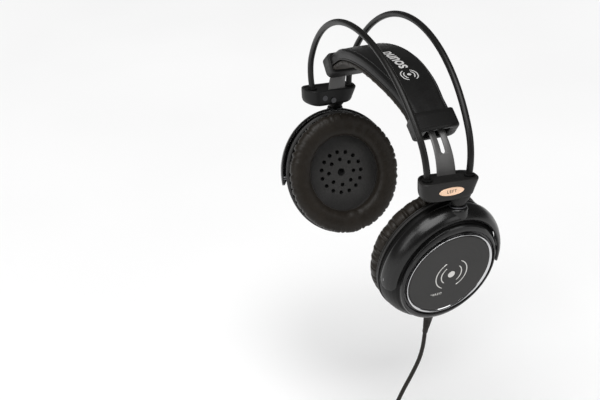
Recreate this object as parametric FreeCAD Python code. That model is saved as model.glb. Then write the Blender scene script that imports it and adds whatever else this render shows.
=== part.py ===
import FreeCAD, Part
import math
import os

# Self-adjusting, closed-back, corded headphones.  Millimetres, +Z up, +X to the wearer's left,
# -Y to the front.  The origin is where the headband pad rests on the crown of the head.

# ---- arch of two sprung rods ----
ROOT_X = 99.9            # rods enter the side blocks here
ROOT_Y = 15.4
ROOT_Z = -41.5           # top rim of the side blocks
SPLAY = 5.0              # degrees each rod's plane leans out from vertical
ARCH_R1 = 112.3          # crown arc
ARCH_T1 = 56.0           # where the crown arc ends, degrees from vertical
ARCH_R2 = 41.2           # shoulder arcs
ARCH_T2 = 96.5           # where the shoulder arcs end
SLEEVE_R = 2.3
WIRE_R = 1.5
SLEEVE_TAIL = 7.5        # how far the sleeve and the wire go into the block
WIRE_TAIL = 10.0

# ---- padded inner headband ----
BAND_TOP = 13.0          # outer face at the crown
BAND_R1 = 150.0
BAND_T1 = 15.0
BAND_R2 = 108.0
BAND_END = 34.6          # degrees, hidden in the end caps
BAND_HALF = 14.4         # at the caps
BAND_CROWN_HALF = 19.1   # at the crown, where the band is widest
BAND_PLAIN_X = 62.0      # beyond this the band's sides run parallel
BAND_Y = 2.0             # the band, its caps and straps sit this much to the rear
BAND_THICK = 13.0
COVER_THICK = 2.0
COVER_SKIRT = 7.5
CAP_START = 33.5
CAP_FLOOR = 39.7
CAP_END = 41.2
CAP_HALF = 15.8
CAP_WALL = 1.5
CAP_SPLIT = -7.0         # offset from the band's outer face where the cap's shells part

# ---- slotted straps ----
STRAP_OFFSET = -5.0
STRAP_R = 33.0           # the free stretch's own curve
STRAP_START = 44.5       # where the strap leaves the band's own curve
STRAP_ROOT = 84.0
STRAP_HALF = 6.8         # at the block
STRAP_TOP_HALF = 6.0     # where it leaves the band's curve, and above
STRAP_THICK = 1.4
STRAP_INNER = 32.0       # lengths from here on are measured from the strap's start angle
STRAP_TAIL = 4.2         # length inside the block
SLOT_HALF = 1.6
SLOT_LOW = 9.0           # slot's lower end, below the start
SLOT_HIGH = 28.0         # slot's upper end, above the start
STOP_ABOVE = 11.2        # stop pin, above the start
STOP_R = 1.2

# ---- side blocks ----
BLOCK_IN = 90.0
BLOCK_OUT = 108.6
BLOCK_BULGE = 109.4
BLOCK_FRONT_IN = -15.4   # where the front end begins to round, on the inner and outer sides
BLOCK_FRONT_OUT = -18.6
BLOCK_FRONT_TIP = -22.2
BLOCK_REAR_Y = 13.8
BLOCK_REAR_TIP = 20.6
BLOCK_SLOPE = 2.5        # degrees the rim falls towards the rear
BLOCK_WALL = 1.5
BLOCK_SPLIT = 100.0
BLOCK_FLOOR = -11.4
BADGE_Y = -2.3
BADGE_Z = -6.9           # below the rim
NECK_BOTTOM = -19.7
NECK_R = 5.0
STEM_X = 104.0
STEM_Y = 5.0
STEM_R = 2.2
STEM_TOP = -11.5
BUSH_R = 3.4
FLANGE_R = 6.0
FLANGE_H = 1.0
HUB_R = 7.0
HUB_GAP = 0.3
GROMMET_R = 3.4
RUNNING = 0.05           # radial clearance of every turning pin
INSERT_TOP = -1.2
INSERT_LOW = -4.2

# ---- ear cups: local Z is outward, local Y is up, local X is rearward ----
CUP_CENTRE = (100.8, 1.3, -113.2)
CUP_YAW = 6.4            # degrees rearward
CUP_DROP = 16.6          # degrees the face looks down
DISC_R = 32.0
TRIM_R = 33.6
BEVEL_R = 40.5
RIM_R = 47.2
CUP_NARROW = 0.92        # the cups are this much narrower, front to rear, than they are high
HOUSING_DEPTH = 20.5
SHELL = 2.0
PIVOT_DEPTH = 12.0
PIVOT_R = 1.5
YOKE_IN_R = 48.4
YOKE_OUT_R = 50.0
YOKE_LOBE = 6.2
PAD_OUT = 47.4
PAD_IN = 29.0
PAD_FRONT = 23.3
PAD_BACK = 37.3
DRIVER_R = 20.0

# ---- lead ----
CORD_D = 3.0
CORD_EXIT_R = 66.0       # tip of the strain relief, from the cup's axis
CORD_EXIT_DEPTH = 12.0
COIL_MEAN = 18.6         # radius at the middle of the turns
COIL_HALF_REACH = 9.4    # half the bundle, along the coil's radius
COIL_HALF_WIDTH = 6.4    # half the bundle, along the coil's axis
COIL_CENTRE = (63.8, -45.5, -260.0)
TAIL_X = 4.6             # the plug's end of the lead, beside the coil's middle plane
PLUG_SIDE = -36.0        # plug's axis and foot, from the coil's centre
PLUG_FOOT = -7.0
PLUG_SLEEVE_R = 1.75
PLUG_GRIP_R = 3.6

PARTS = "parts"
V = FreeCAD.Vector


def rad(angle):
    return math.radians(angle)


def save(name, shape):
    shape.exportStep(PARTS + "/" + name + ".step")


def mirrored(shape):
    return shape.mirror(V(0, 0, 0), V(1, 0, 0))


def save_pair(name, shape):
    save(name + "_left", shape)
    save(name + "_right", mirrored(shape))


def wire(points):
    return Part.makePolygon(list(points) + [points[0]])


def turned(profile, start=0.0, sweep=360.0):
    """Revolve a closed (radius, z) outline about Z."""
    face = Part.Face(wire([V(r, 0, z) for r, z in profile]))
    face.rotate(V(0, 0, 0), V(0, 0, 1), start)
    return face.revolve(V(0, 0, 0), V(0, 0, 1), sweep)


def rod(start, end, radius):
    return Part.makeCylinder(radius, (end - start).Length, start, end - start)


def joined(shapes):
    result = shapes[0]
    for shape in shapes[1:]:
        result = result.fuse(shape)
    return result.removeSplitter()


# ---- curves made of tangent arcs ----

def basket(angle, r1, t1, r2, offset, crown):
    """Point at an angle from vertical on a crown arc r1 that runs on as an arc r2."""
    turn = rad(abs(angle))
    knee = rad(t1)
    side = 1 if angle >= 0 else -1
    if abs(angle) <= t1:
        return V(side * (r1 + offset) * math.sin(turn), 0, crown - r1 + (r1 + offset) * math.cos(turn))
    x = (r1 - r2) * math.sin(knee) + (r2 + offset) * math.sin(turn)
    z = crown - r1 + (r1 - r2) * math.cos(knee) + (r2 + offset) * math.cos(turn)
    return V(side * x, 0, z)


def arcs(point_at, first, last, knee):
    """Tangent arcs from one angle to another, parted at the knees."""
    stops = [first] + [k for k in (-knee, knee) if first < k < last] + [last]
    return [Part.Arc(point_at(a), point_at((a + b) / 2), point_at(b)).toShape()
            for a, b in zip(stops, stops[1:])]


def band_point(angle, offset):
    return basket(angle, BAND_R1, BAND_T1, BAND_R2, offset, BAND_TOP)


def band_strip(first, last, outer, inner, half):
    """Solid between two offsets of the band's outer face, over a range of angles."""
    edges = arcs(lambda a: band_point(a, outer), first, last, BAND_T1)
    edges += arcs(lambda a: band_point(a, inner), first, last, BAND_T1)
    for angle in (first, last):
        edges.append(Part.LineSegment(band_point(angle, outer), band_point(angle, inner)).toShape())
    face = Part.Face(Part.Wire(Part.__sortEdges__(edges)))
    face.translate(V(0, -half, 0))
    return face.extrude(V(0, 2 * half, 0))


def band_plan(inset):
    """Tall prism on the band's outline seen from above, wider at the crown than at the caps."""
    half = BAND_HALF - inset
    reach = 80.0
    edges = []
    for side in (-1, 1):
        crown = side * (BAND_CROWN_HALF - inset)
        knees = [V(-BAND_PLAIN_X, side * half, -80), V(BAND_PLAIN_X, side * half, -80)]
        edges.append(Part.Arc(knees[0], V(0, crown, -80), knees[1]).toShape())
        for knee, x in zip(knees, (-reach, reach)):
            edges.append(Part.LineSegment(knee, V(x, side * half, -80)).toShape())
    for x in (-reach, reach):
        edges.append(Part.LineSegment(V(x, -half, -80), V(x, half, -80)).toShape())
    return Part.Face(Part.Wire(Part.__sortEdges__(edges))).extrude(V(0, 0, 160))


def band_layer(first, last, outer, inner, inset):
    """Strip of the band between two offsets, following its own outline seen from above."""
    return band_strip(first, last, outer, inner, 30.0).common(band_plan(inset))


def band_rod(angle, y, outer, inner, radius):
    """Round pin square to the band, between two offsets."""
    return rod(band_point(angle, inner) + V(0, y, 0), band_point(angle, outer) + V(0, y, 0), radius)


# ---- arch ----

def arch_point(angle):
    crown = ARCH_R1 - (ARCH_R1 - ARCH_R2) * math.cos(rad(ARCH_T1)) - ARCH_R2 * math.cos(rad(ARCH_T2))
    return basket(angle, ARCH_R1, ARCH_T1, ARCH_R2, 0.0, crown)


def arch_rod(radius, tail, side):
    """One whole rod, with straight tails that go down into the blocks."""
    edges = arcs(arch_point, -ARCH_T2, ARCH_T2, ARCH_T1)
    root = arch_point(ARCH_T2)
    down = V(math.cos(rad(ARCH_T2)), 0, -math.sin(rad(ARCH_T2)))
    foot = root + down * tail
    edges.append(Part.LineSegment(root, foot).toShape())
    edges.insert(0, Part.LineSegment(V(-foot.x, 0, foot.z), V(-root.x, 0, root.z)).toShape())
    path = Part.Wire(edges)
    start = V(-foot.x, 0, foot.z)
    section = Part.Wire([Part.Circle(start, V(down.x, 0, -down.z), radius).toShape()])
    solid = path.makePipeShell([section], True, False)
    solid.rotate(V(0, 0, 0), V(1, 0, 0), -SPLAY * side)
    solid.translate(V(0, side * ROOT_Y, ROOT_Z))
    return solid


# ---- ear cup frame ----

def cup_matrix():
    yaw = rad(CUP_YAW)
    drop = rad(-CUP_DROP)
    out = V(math.cos(yaw) * math.cos(drop), math.sin(yaw) * math.cos(drop), math.sin(drop))
    up = (V(0, 0, 1) - out * out.z).normalize()
    rear = up.cross(out)
    c = CUP_CENTRE
    return FreeCAD.Matrix(rear.x, up.x, out.x, c[0], rear.y, up.y, out.y, c[1],
                          rear.z, up.z, out.z, c[2], 0, 0, 0, 1)


CUP = cup_matrix()


def at_cup(shape):
    placed = shape.copy()
    placed.Placement = FreeCAD.Placement(CUP)
    return placed


def oval(shape):
    """Narrow a round shape of the cup, front to rear."""
    return shape.transformGeometry(FreeCAD.Matrix(CUP_NARROW, 0, 0, 0, 0, 1, 0, 0, 0, 0, 1, 0, 0, 0, 0, 1))


def cup_point(x, y, z):
    return CUP.multiply(V(x, y, z))


# ================= headband =================

def on_band(shape):
    """Move a shape drawn about the middle plane to the band's own."""
    moved = shape.copy()
    moved.translate(V(0, BAND_Y, 0))
    return moved


def make_headband():
    cover = band_layer(-BAND_END, BAND_END, 0.0, -COVER_SKIRT, 0.0)
    cover = cover.cut(band_layer(-BAND_END - 1, BAND_END + 1, -COVER_THICK, -COVER_SKIRT - 1, 1.2))
    save("headband_cover", on_band(cover))

    core = band_strip(-BAND_END + 5, BAND_END - 5, -COVER_THICK - 0.1, -COVER_THICK - 1.1, 11.5)
    save("headband_core", on_band(core))

    foam = band_layer(-BAND_END, BAND_END, -COVER_THICK - 1.2, -COVER_SKIRT - 0.2, 1.4)
    cushion = band_layer(-BAND_END, BAND_END, -COVER_SKIRT - 0.1, -BAND_THICK, 0.0)
    channel = band_strip(12.0, BAND_END + 1, -COVER_THICK - 1.1, -7.1, 8.5)
    pad = joined([foam, cushion]).cut(channel).cut(mirrored(channel))
    save("headband_pad", on_band(pad))


CAP_SCREWS = ((37.3, -11.6), (37.3, 11.6))


def make_caps():
    body = band_strip(CAP_START, CAP_END, CAP_WALL, -BAND_THICK - CAP_WALL, CAP_HALF)
    cavity = band_strip(CAP_START - 1, CAP_FLOOR, 0.1, -BAND_THICK - 0.1, BAND_HALF + 0.1)
    mouth = band_strip(CAP_FLOOR - 1, CAP_END + 1, -1.8, -10.6, 9.2)
    shell = body.cut(cavity).cut(mouth)
    outer_side = band_strip(CAP_START - 2, CAP_END + 2, 5.0, CAP_SPLIT, 20.0)
    inner_side = band_strip(CAP_START - 2, CAP_END + 2, CAP_SPLIT, -25.0, 20.0)
    outer = shell.common(outer_side)
    inner = shell.common(inner_side)
    for angle, y in CAP_SCREWS:
        outer = outer.fuse(band_rod(angle, y, 0.6, CAP_SPLIT, 2.6))
        inner = inner.fuse(band_rod(angle, y, CAP_SPLIT, -BAND_THICK - 0.8, 2.6))
    for angle, y in CAP_SCREWS:
        outer = outer.cut(band_rod(angle, y, -2.0, CAP_SPLIT - 1, 1.2))
        inner = inner.cut(band_rod(angle, y, CAP_SPLIT + 1, -20.0, 1.3))
        inner = inner.cut(band_rod(angle, y, -12.0, -20.0, 2.2))
    save_pair("end_cap_outer", on_band(outer.removeSplitter()))
    save_pair("end_cap_inner", on_band(inner.removeSplitter()))

    screws = []
    for angle, y in CAP_SCREWS:
        shank = band_rod(angle, y, -2.4, -12.0, 1.2)
        screws.append(shank.fuse(band_rod(angle, y, -12.0, -13.4, 2.1)).removeSplitter())
    save("cap_screws", on_band(Part.makeCompound(screws + [mirrored(screw) for screw in screws])))

    stop_angle = STRAP_START - math.degrees(STOP_ABOVE / (BAND_R2 + STRAP_OFFSET))
    stop = band_rod(stop_angle, 0, 0.1, -9.0, STOP_R)
    save("strap_stop_pins", on_band(Part.makeCompound([stop, mirrored(stop)])))


# ================= straps =================

def strap_angle(above_mouth):
    return STRAP_START - math.degrees(above_mouth / (BAND_R2 + STRAP_OFFSET))


def strap_path():
    """Centre line: inside the band, the free arc, then straight down into the block."""
    mouth = band_point(STRAP_START, STRAP_OFFSET)
    centre = mouth - V(math.sin(rad(STRAP_START)), 0, math.cos(rad(STRAP_START))) * STRAP_R
    free = lambda a: centre + V(math.sin(rad(a)), 0, math.cos(rad(a))) * STRAP_R
    root = free(STRAP_ROOT)
    tail = root + V(math.cos(rad(STRAP_ROOT)), 0, -math.sin(rad(STRAP_ROOT))) * STRAP_TAIL
    return centre, free, root, tail


def strap_slab(first, last, centre, radius, half, thick):
    """A curved strip of the strap about one centre."""
    def point(angle, reach):
        return centre + V(math.sin(rad(angle)), 0, math.cos(rad(angle))) * reach
    middle = (first + last) / 2
    edges = []
    for reach in (radius - thick / 2, radius + thick / 2):
        edges.append(Part.Arc(point(first, reach), point(middle, reach), point(last, reach)).toShape())
    for angle in (first, last):
        edges.append(Part.LineSegment(point(angle, radius - thick / 2),
                                      point(angle, radius + thick / 2)).toShape())
    face = Part.Face(Part.Wire(Part.__sortEdges__(edges)))
    face.translate(V(0, -half, 0))
    return face.extrude(V(0, 2 * half, 0))


def make_straps():
    centre, free, root, tail = strap_path()
    band_centre = band_point(STRAP_START, -BAND_R2)
    hidden = strap_slab(strap_angle(STRAP_INNER), STRAP_START, band_centre,
                        BAND_R2 + STRAP_OFFSET, STRAP_TOP_HALF, STRAP_THICK)
    shown = strap_slab(STRAP_START, STRAP_ROOT, centre, STRAP_R, STRAP_HALF, STRAP_THICK)
    mouth = band_point(STRAP_START, STRAP_OFFSET)
    taper = Part.Face(wire([V(60, -STRAP_TOP_HALF, 0), V(mouth.x, -STRAP_TOP_HALF, 0), V(root.x, -STRAP_HALF, 0),
                            V(120, -STRAP_HALF, 0), V(120, STRAP_HALF, 0), V(root.x, STRAP_HALF, 0),
                            V(mouth.x, STRAP_TOP_HALF, 0), V(60, STRAP_TOP_HALF, 0)]))
    taper.translate(V(0, 0, -80))
    shown = shown.common(taper.extrude(V(0, 0, 90)))
    across = V(math.sin(rad(STRAP_ROOT)), 0, math.cos(rad(STRAP_ROOT))) * (STRAP_THICK / 2)
    face = Part.Face(wire([root - across, root + across, tail + across, tail - across]))
    face.translate(V(0, -STRAP_HALF, 0))
    foot = face.extrude(V(0, 2 * STRAP_HALF, 0))
    strap = joined([hidden, shown, foot])

    slot_high = strap_slab(strap_angle(SLOT_HIGH - SLOT_HALF), STRAP_START, band_centre,
                           BAND_R2 + STRAP_OFFSET, SLOT_HALF, 4.0)
    slot_turn = STRAP_START + math.degrees((SLOT_LOW - SLOT_HALF) / STRAP_R)
    slot_low = strap_slab(STRAP_START, slot_turn, centre, STRAP_R, SLOT_HALF, 4.0)
    upper = band_rod(strap_angle(SLOT_HIGH - SLOT_HALF), 0, STRAP_OFFSET + 2, STRAP_OFFSET - 2, SLOT_HALF)
    low_way = V(math.sin(rad(slot_turn)), 0, math.cos(rad(slot_turn)))
    lower = rod(free(slot_turn) - low_way * 2, free(slot_turn) + low_way * 2, SLOT_HALF)
    strap = strap.cut(joined([slot_high, slot_low, upper, lower]))
    save_pair("strap", on_band(strap.removeSplitter()))

    hook = band_point(strap_angle(STRAP_INNER) - 0.1, STRAP_OFFSET)
    anchor = band_point(16.5, STRAP_OFFSET)
    elastic = rod(hook, anchor, 0.9)
    elastic = elastic.fuse(Part.makeBox(2.4, 10, 1.2, V(anchor.x - 2.4, -5, anchor.z - 0.6)))
    elastic = elastic.removeSplitter()
    save("retraction_elastics", on_band(Part.makeCompound([elastic, mirrored(elastic)])))


# ================= side blocks =================

BLOCK_SCREWS = ((-8.6, -6.4), (-1.5, -9.1))


def block_plan(inset):
    """Outline seen from above: a bowed outer face, a skewed front end and a round rear end."""
    near = BLOCK_IN + inset
    far = BLOCK_OUT - inset
    front_in = V(near, BLOCK_FRONT_IN, 0)
    front_out = V(far, BLOCK_FRONT_OUT, 0)
    rear_in = V(near, BLOCK_REAR_Y, 0)
    rear_out = V(far, BLOCK_REAR_Y, 0)
    edges = [Part.LineSegment(front_in, rear_in).toShape(),
             Part.Arc(rear_in, V(99.0, BLOCK_REAR_TIP - inset, 0), rear_out).toShape(),
             Part.Arc(rear_out, V(BLOCK_BULGE - inset, 0, 0), front_out).toShape(),
             Part.Arc(front_out, V(102.0, BLOCK_FRONT_TIP + inset, 0), front_in).toShape()]
    return Part.Wire(Part.__sortEdges__(edges))


def block_side(inset):
    """Outline seen from the side: square at the front, stepping down to the neck at the rear."""
    outline = ((-24.0, 3.0), (-23.4, -7.6), (-22.2, -10.8), (-20.0, -12.5), (-17.0, -13.0), (0.4, -13.4),
               (STEM_Y - 4.0, -15.2), (STEM_Y + 4.4, -18.6), (13.0, -16.2), (16.8, -8.4), (21.8, 3.0))
    face = Part.Face(wire([V(85, y, ROOT_Z + z) for y, z in outline]))
    if inset:
        face = face.makeOffset2D(-inset, 0, False, False, False)
    return face.extrude(V(30, 0, 0))


def under_rim(depth):
    """Space below a plane parallel to the sloping rim; depth is negative downwards."""
    space = Part.makeBox(60, 80, 60, V(70, -40, depth - 60))
    space.rotate(V(0, 0, 0), V(1, 0, 0), -BLOCK_SLOPE)
    space.translate(V(0, -ROOT_Y, ROOT_Z))
    return space


def block_solid(inset, low, high):
    """Block's outline, inset, from a level floor up to a plane parallel to the rim."""
    plan = Part.Face(block_plan(inset)).extrude(V(0, 0, 6 - low))
    plan.translate(V(0, 0, ROOT_Z + low))
    return plan.common(block_side(inset)).common(under_rim(high))


def make_blocks(sleeves, wires):
    z = ROOT_Z
    neck = rod(V(STEM_X, STEM_Y, z + NECK_BOTTOM), V(STEM_X, STEM_Y, z + BLOCK_FLOOR - 0.5), NECK_R)
    solid = block_solid(0.0, NECK_BOTTOM, 0.0)
    body = solid.fuse(neck).removeSplitter()
    cavity = block_solid(BLOCK_WALL, BLOCK_FLOOR, 2.0)
    bore = rod(V(STEM_X, STEM_Y, z + NECK_BOTTOM - 1), V(STEM_X, STEM_Y, z + STEM_TOP + 0.5), BUSH_R)
    shell = body.cut(cavity).cut(bore)
    halves = [shell.common(Part.makeBox(40, 60, 40, V(BLOCK_SPLIT - 40, -30, z - 30))),
              shell.common(Part.makeBox(40, 60, 40, V(BLOCK_SPLIT, -30, z - 30)))]
    sockets = [rod(V(ROOT_X - 0.6, side * (ROOT_Y - 0.4), z + BLOCK_FLOOR - 0.5),
                   V(ROOT_X - 0.6, side * (ROOT_Y - 0.4), z + INSERT_LOW - 0.1), 3.7) for side in (-1, 1)]
    inner = halves[0]
    outer = halves[1]
    for socket in sockets:
        inner = inner.fuse(socket.common(block_solid(0.4, BLOCK_FLOOR - 1, -1.0)))
        outer = outer.cut(socket)
    for y, height in BLOCK_SCREWS:
        inner = inner.fuse(rod(V(BLOCK_IN + 1, y, z + height), V(BLOCK_SPLIT - 1.9, y, z + height), 2.5))
        outer = outer.fuse(rod(V(BLOCK_SPLIT + 1.9, y, z + height), V(BLOCK_OUT + 0.4, y, z + height), 2.5))
    for y, height in BLOCK_SCREWS:
        inner = inner.cut(rod(V(BLOCK_IN - 1, y, z + height), V(BLOCK_SPLIT, y, z + height), 1.3))
        inner = inner.cut(rod(V(BLOCK_IN - 1, y, z + height), V(BLOCK_IN + 1.5, y, z + height), 2.2))
        outer = outer.cut(rod(V(BLOCK_SPLIT, y, z + height), V(BLOCK_OUT - 1.6, y, z + height), 1.2))
    insert_space = block_solid(BLOCK_WALL, INSERT_LOW - 0.05, 2.0)
    inner = inner.cut(insert_space)
    outer = outer.cut(insert_space)
    for piece in sleeves + wires:
        inner = inner.cut(piece)
        outer = outer.cut(piece)
    badge_pocket = badge_solid(0.0)
    inner = max(inner.Solids, key=lambda solid: solid.Volume)
    save_pair("block_inner", inner.removeSplitter())
    save_pair("block_outer", outer.cut(badge_pocket).removeSplitter())

    insert = block_solid(BLOCK_WALL + 0.05, INSERT_LOW, INSERT_TOP)
    centre, free, root, tail = strap_path()
    slot = Part.makeBox(3.4, 2 * STRAP_HALF + 1, 8, V(root.x - 1.4, BAND_Y - STRAP_HALF - 0.5, z - 7))
    insert = insert.cut(slot)
    for side in (-1, 1):
        insert = insert.cut(rod(V(ROOT_X - 0.2, side * (ROOT_Y - 0.1), z - 6),
                                V(ROOT_X - 0.2, side * (ROOT_Y - 0.1), z + 2), 3.1))
    save("block_inserts", Part.makeCompound([insert, mirrored(insert)]))

    grommets = []
    for side in (-1, 1):
        at = V(ROOT_X - 0.2, side * (ROOT_Y - 0.1), z)
        fall = math.tan(rad(BLOCK_SLOPE)) * (at.y + ROOT_Y)
        ring = rod(at + V(0, 0, INSERT_LOW), at + V(0, 0, INSERT_TOP + 0.1 - fall), 3.05)
        ring = ring.fuse(rod(at + V(0, 0, INSERT_TOP + 0.2 - fall), at + V(0, 0, 0.5 - fall), GROMMET_R))
        ring = ring.common(block_solid(BLOCK_WALL + 0.05, INSERT_LOW - 1, 1.0))
        for piece in sleeves:
            ring = ring.cut(piece)
        grommets.append(ring)
    save("tube_grommets", Part.makeCompound(grommets + [mirrored(ring) for ring in grommets]))

    screws = []
    for y, height in BLOCK_SCREWS:
        shank = rod(V(BLOCK_IN + 1.4, y, z + height), V(BLOCK_OUT - 2.0, y, z + height), 1.2)
        head = rod(V(BLOCK_IN + 0.1, y, z + height), V(BLOCK_IN + 1.5, y, z + height), 2.1)
        screws.append(shank.fuse(head).removeSplitter())
    save("block_screws", Part.makeCompound(screws + [mirrored(screw) for screw in screws]))

    foot = V(STEM_X, STEM_Y, z + NECK_BOTTOM)
    bush = rod(foot, foot + V(0, 0, 6.2), BUSH_R - 0.02)
    bush = bush.fuse(rod(foot - V(0, 0, FLANGE_H), foot, FLANGE_R))
    bush = bush.cut(rod(foot - V(0, 0, 2), foot + V(0, 0, 8), STEM_R + RUNNING)).removeSplitter()
    save("swivel_bushes", Part.makeCompound([bush, mirrored(bush)]))


def badge_solid(gap):
    """Oval badge set 0.8 mm into the block's bowed outer face."""
    length = 9.0 - gap
    height = 2.8 - gap
    oval = Part.Ellipse(V(0, 0, 0), length, height).toShape()
    face = Part.Face(Part.Wire([oval]))
    face.rotate(V(0, 0, 0), V(0, 0, 1), 90)
    face.rotate(V(0, 0, 0), V(0, 1, 0), 90)
    prism = face.extrude(V(12, 0, 0))
    prism.translate(V(100, BADGE_Y, ROOT_Z + BADGE_Z))
    plan = Part.Face(block_plan(0.8)).extrude(V(0, 0, 30))
    plan.translate(V(0, 0, ROOT_Z - 25))
    proud = Part.Face(block_plan(-0.3 if gap else -3.0)).extrude(V(0, 0, 30))
    proud.translate(V(0, 0, ROOT_Z - 25))
    return prism.common(proud).cut(plan)


# ================= yokes =================

YOKE_INSIDE = ((42.8, -3.8), (45.6, -6.2), (47.5, -9.2), (YOKE_IN_R, -12.4), (YOKE_IN_R, -15.2))
YOKE_OUTSIDE = ((YOKE_OUT_R - 0.5, -15.4), (YOKE_OUT_R, -14.6), (YOKE_OUT_R, -11.6), (49.3, -8.2),
                (47.4, -4.5), (44.8, -2.2), (43.2, -2.3))


def make_yokes():
    profile = YOKE_INSIDE + YOKE_OUTSIDE
    ring = oval(turned(profile, 0.0, 180.0))
    lobe = oval(turned(profile, -12.0, 204.0))
    across = Part.makeCylinder(YOKE_LOBE, 120, V(-60, 0, -PIVOT_DEPTH + 2.6), V(1, 0, 0))
    ring = ring.fuse(lobe.common(across))
    bore = Part.makeCylinder(PIVOT_R + RUNNING, 120, V(-60, 0, -PIVOT_DEPTH), V(1, 0, 0))
    yoke = at_cup(ring.cut(bore))
    top = ROOT_Z + NECK_BOTTOM - FLANGE_H - HUB_GAP
    hub = rod(V(STEM_X, STEM_Y, top - 8), V(STEM_X, STEM_Y, top), HUB_R)
    inside = turned(((0, 5), (YOKE_INSIDE[0][0], 5)) + YOKE_INSIDE + ((YOKE_IN_R, -30), (0, -30)))
    keep_out = at_cup(oval(inside))
    neck_room = rod(V(STEM_X, STEM_Y, top), V(STEM_X, STEM_Y, top + 12), FLANGE_R + 1.3)
    yoke = yoke.cut(neck_room).fuse(hub.cut(keep_out))
    pin_hole = rod(V(STEM_X, STEM_Y, top - 8), V(STEM_X, STEM_Y, top + 1), STEM_R - 0.3)
    save_pair("yoke", yoke.cut(pin_hole))

    stem = rod(V(STEM_X, STEM_Y, top + 0.02), V(STEM_X, STEM_Y, ROOT_Z + STEM_TOP), STEM_R)
    root = rod(V(STEM_X, STEM_Y, top - 8), V(STEM_X, STEM_Y, top + 0.02), STEM_R - 0.3).cut(keep_out)
    groove_z = ROOT_Z + STEM_TOP - 1.8
    groove = rod(V(STEM_X, STEM_Y, groove_z), V(STEM_X, STEM_Y, groove_z + 0.8), 4)
    groove = groove.cut(rod(V(STEM_X, STEM_Y, groove_z - 1), V(STEM_X, STEM_Y, groove_z + 2), 1.6))
    save_pair("swivel_stem", stem.fuse(root).cut(groove).removeSplitter())

    clip = rod(V(STEM_X, STEM_Y, groove_z + 0.1), V(STEM_X, STEM_Y, groove_z + 0.7), 3.1)
    clip = clip.cut(rod(V(STEM_X, STEM_Y, groove_z - 1), V(STEM_X, STEM_Y, groove_z + 2), 1.62))
    clip = clip.cut(Part.makeBox(4, 2.4, 3, V(STEM_X, STEM_Y - 1.2, groove_z - 1)))
    save_pair("stem_clip", clip)


# ================= ear cups =================

SCREW_SPOTS = (45, 135, 225, 315)
HOUSING_OUTSIDE = ((0, -2.4), (BEVEL_R, -2.4), (BEVEL_R, -3.6), (43.2, -6.8), (45.3, -10.4), (46.4, -13.0),
                   (RIM_R, -16.0), (RIM_R, -HOUSING_DEPTH))


def on_circle(radius, angle, z):
    return V(radius * math.cos(rad(angle)), radius * math.sin(rad(angle)), z)


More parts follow.
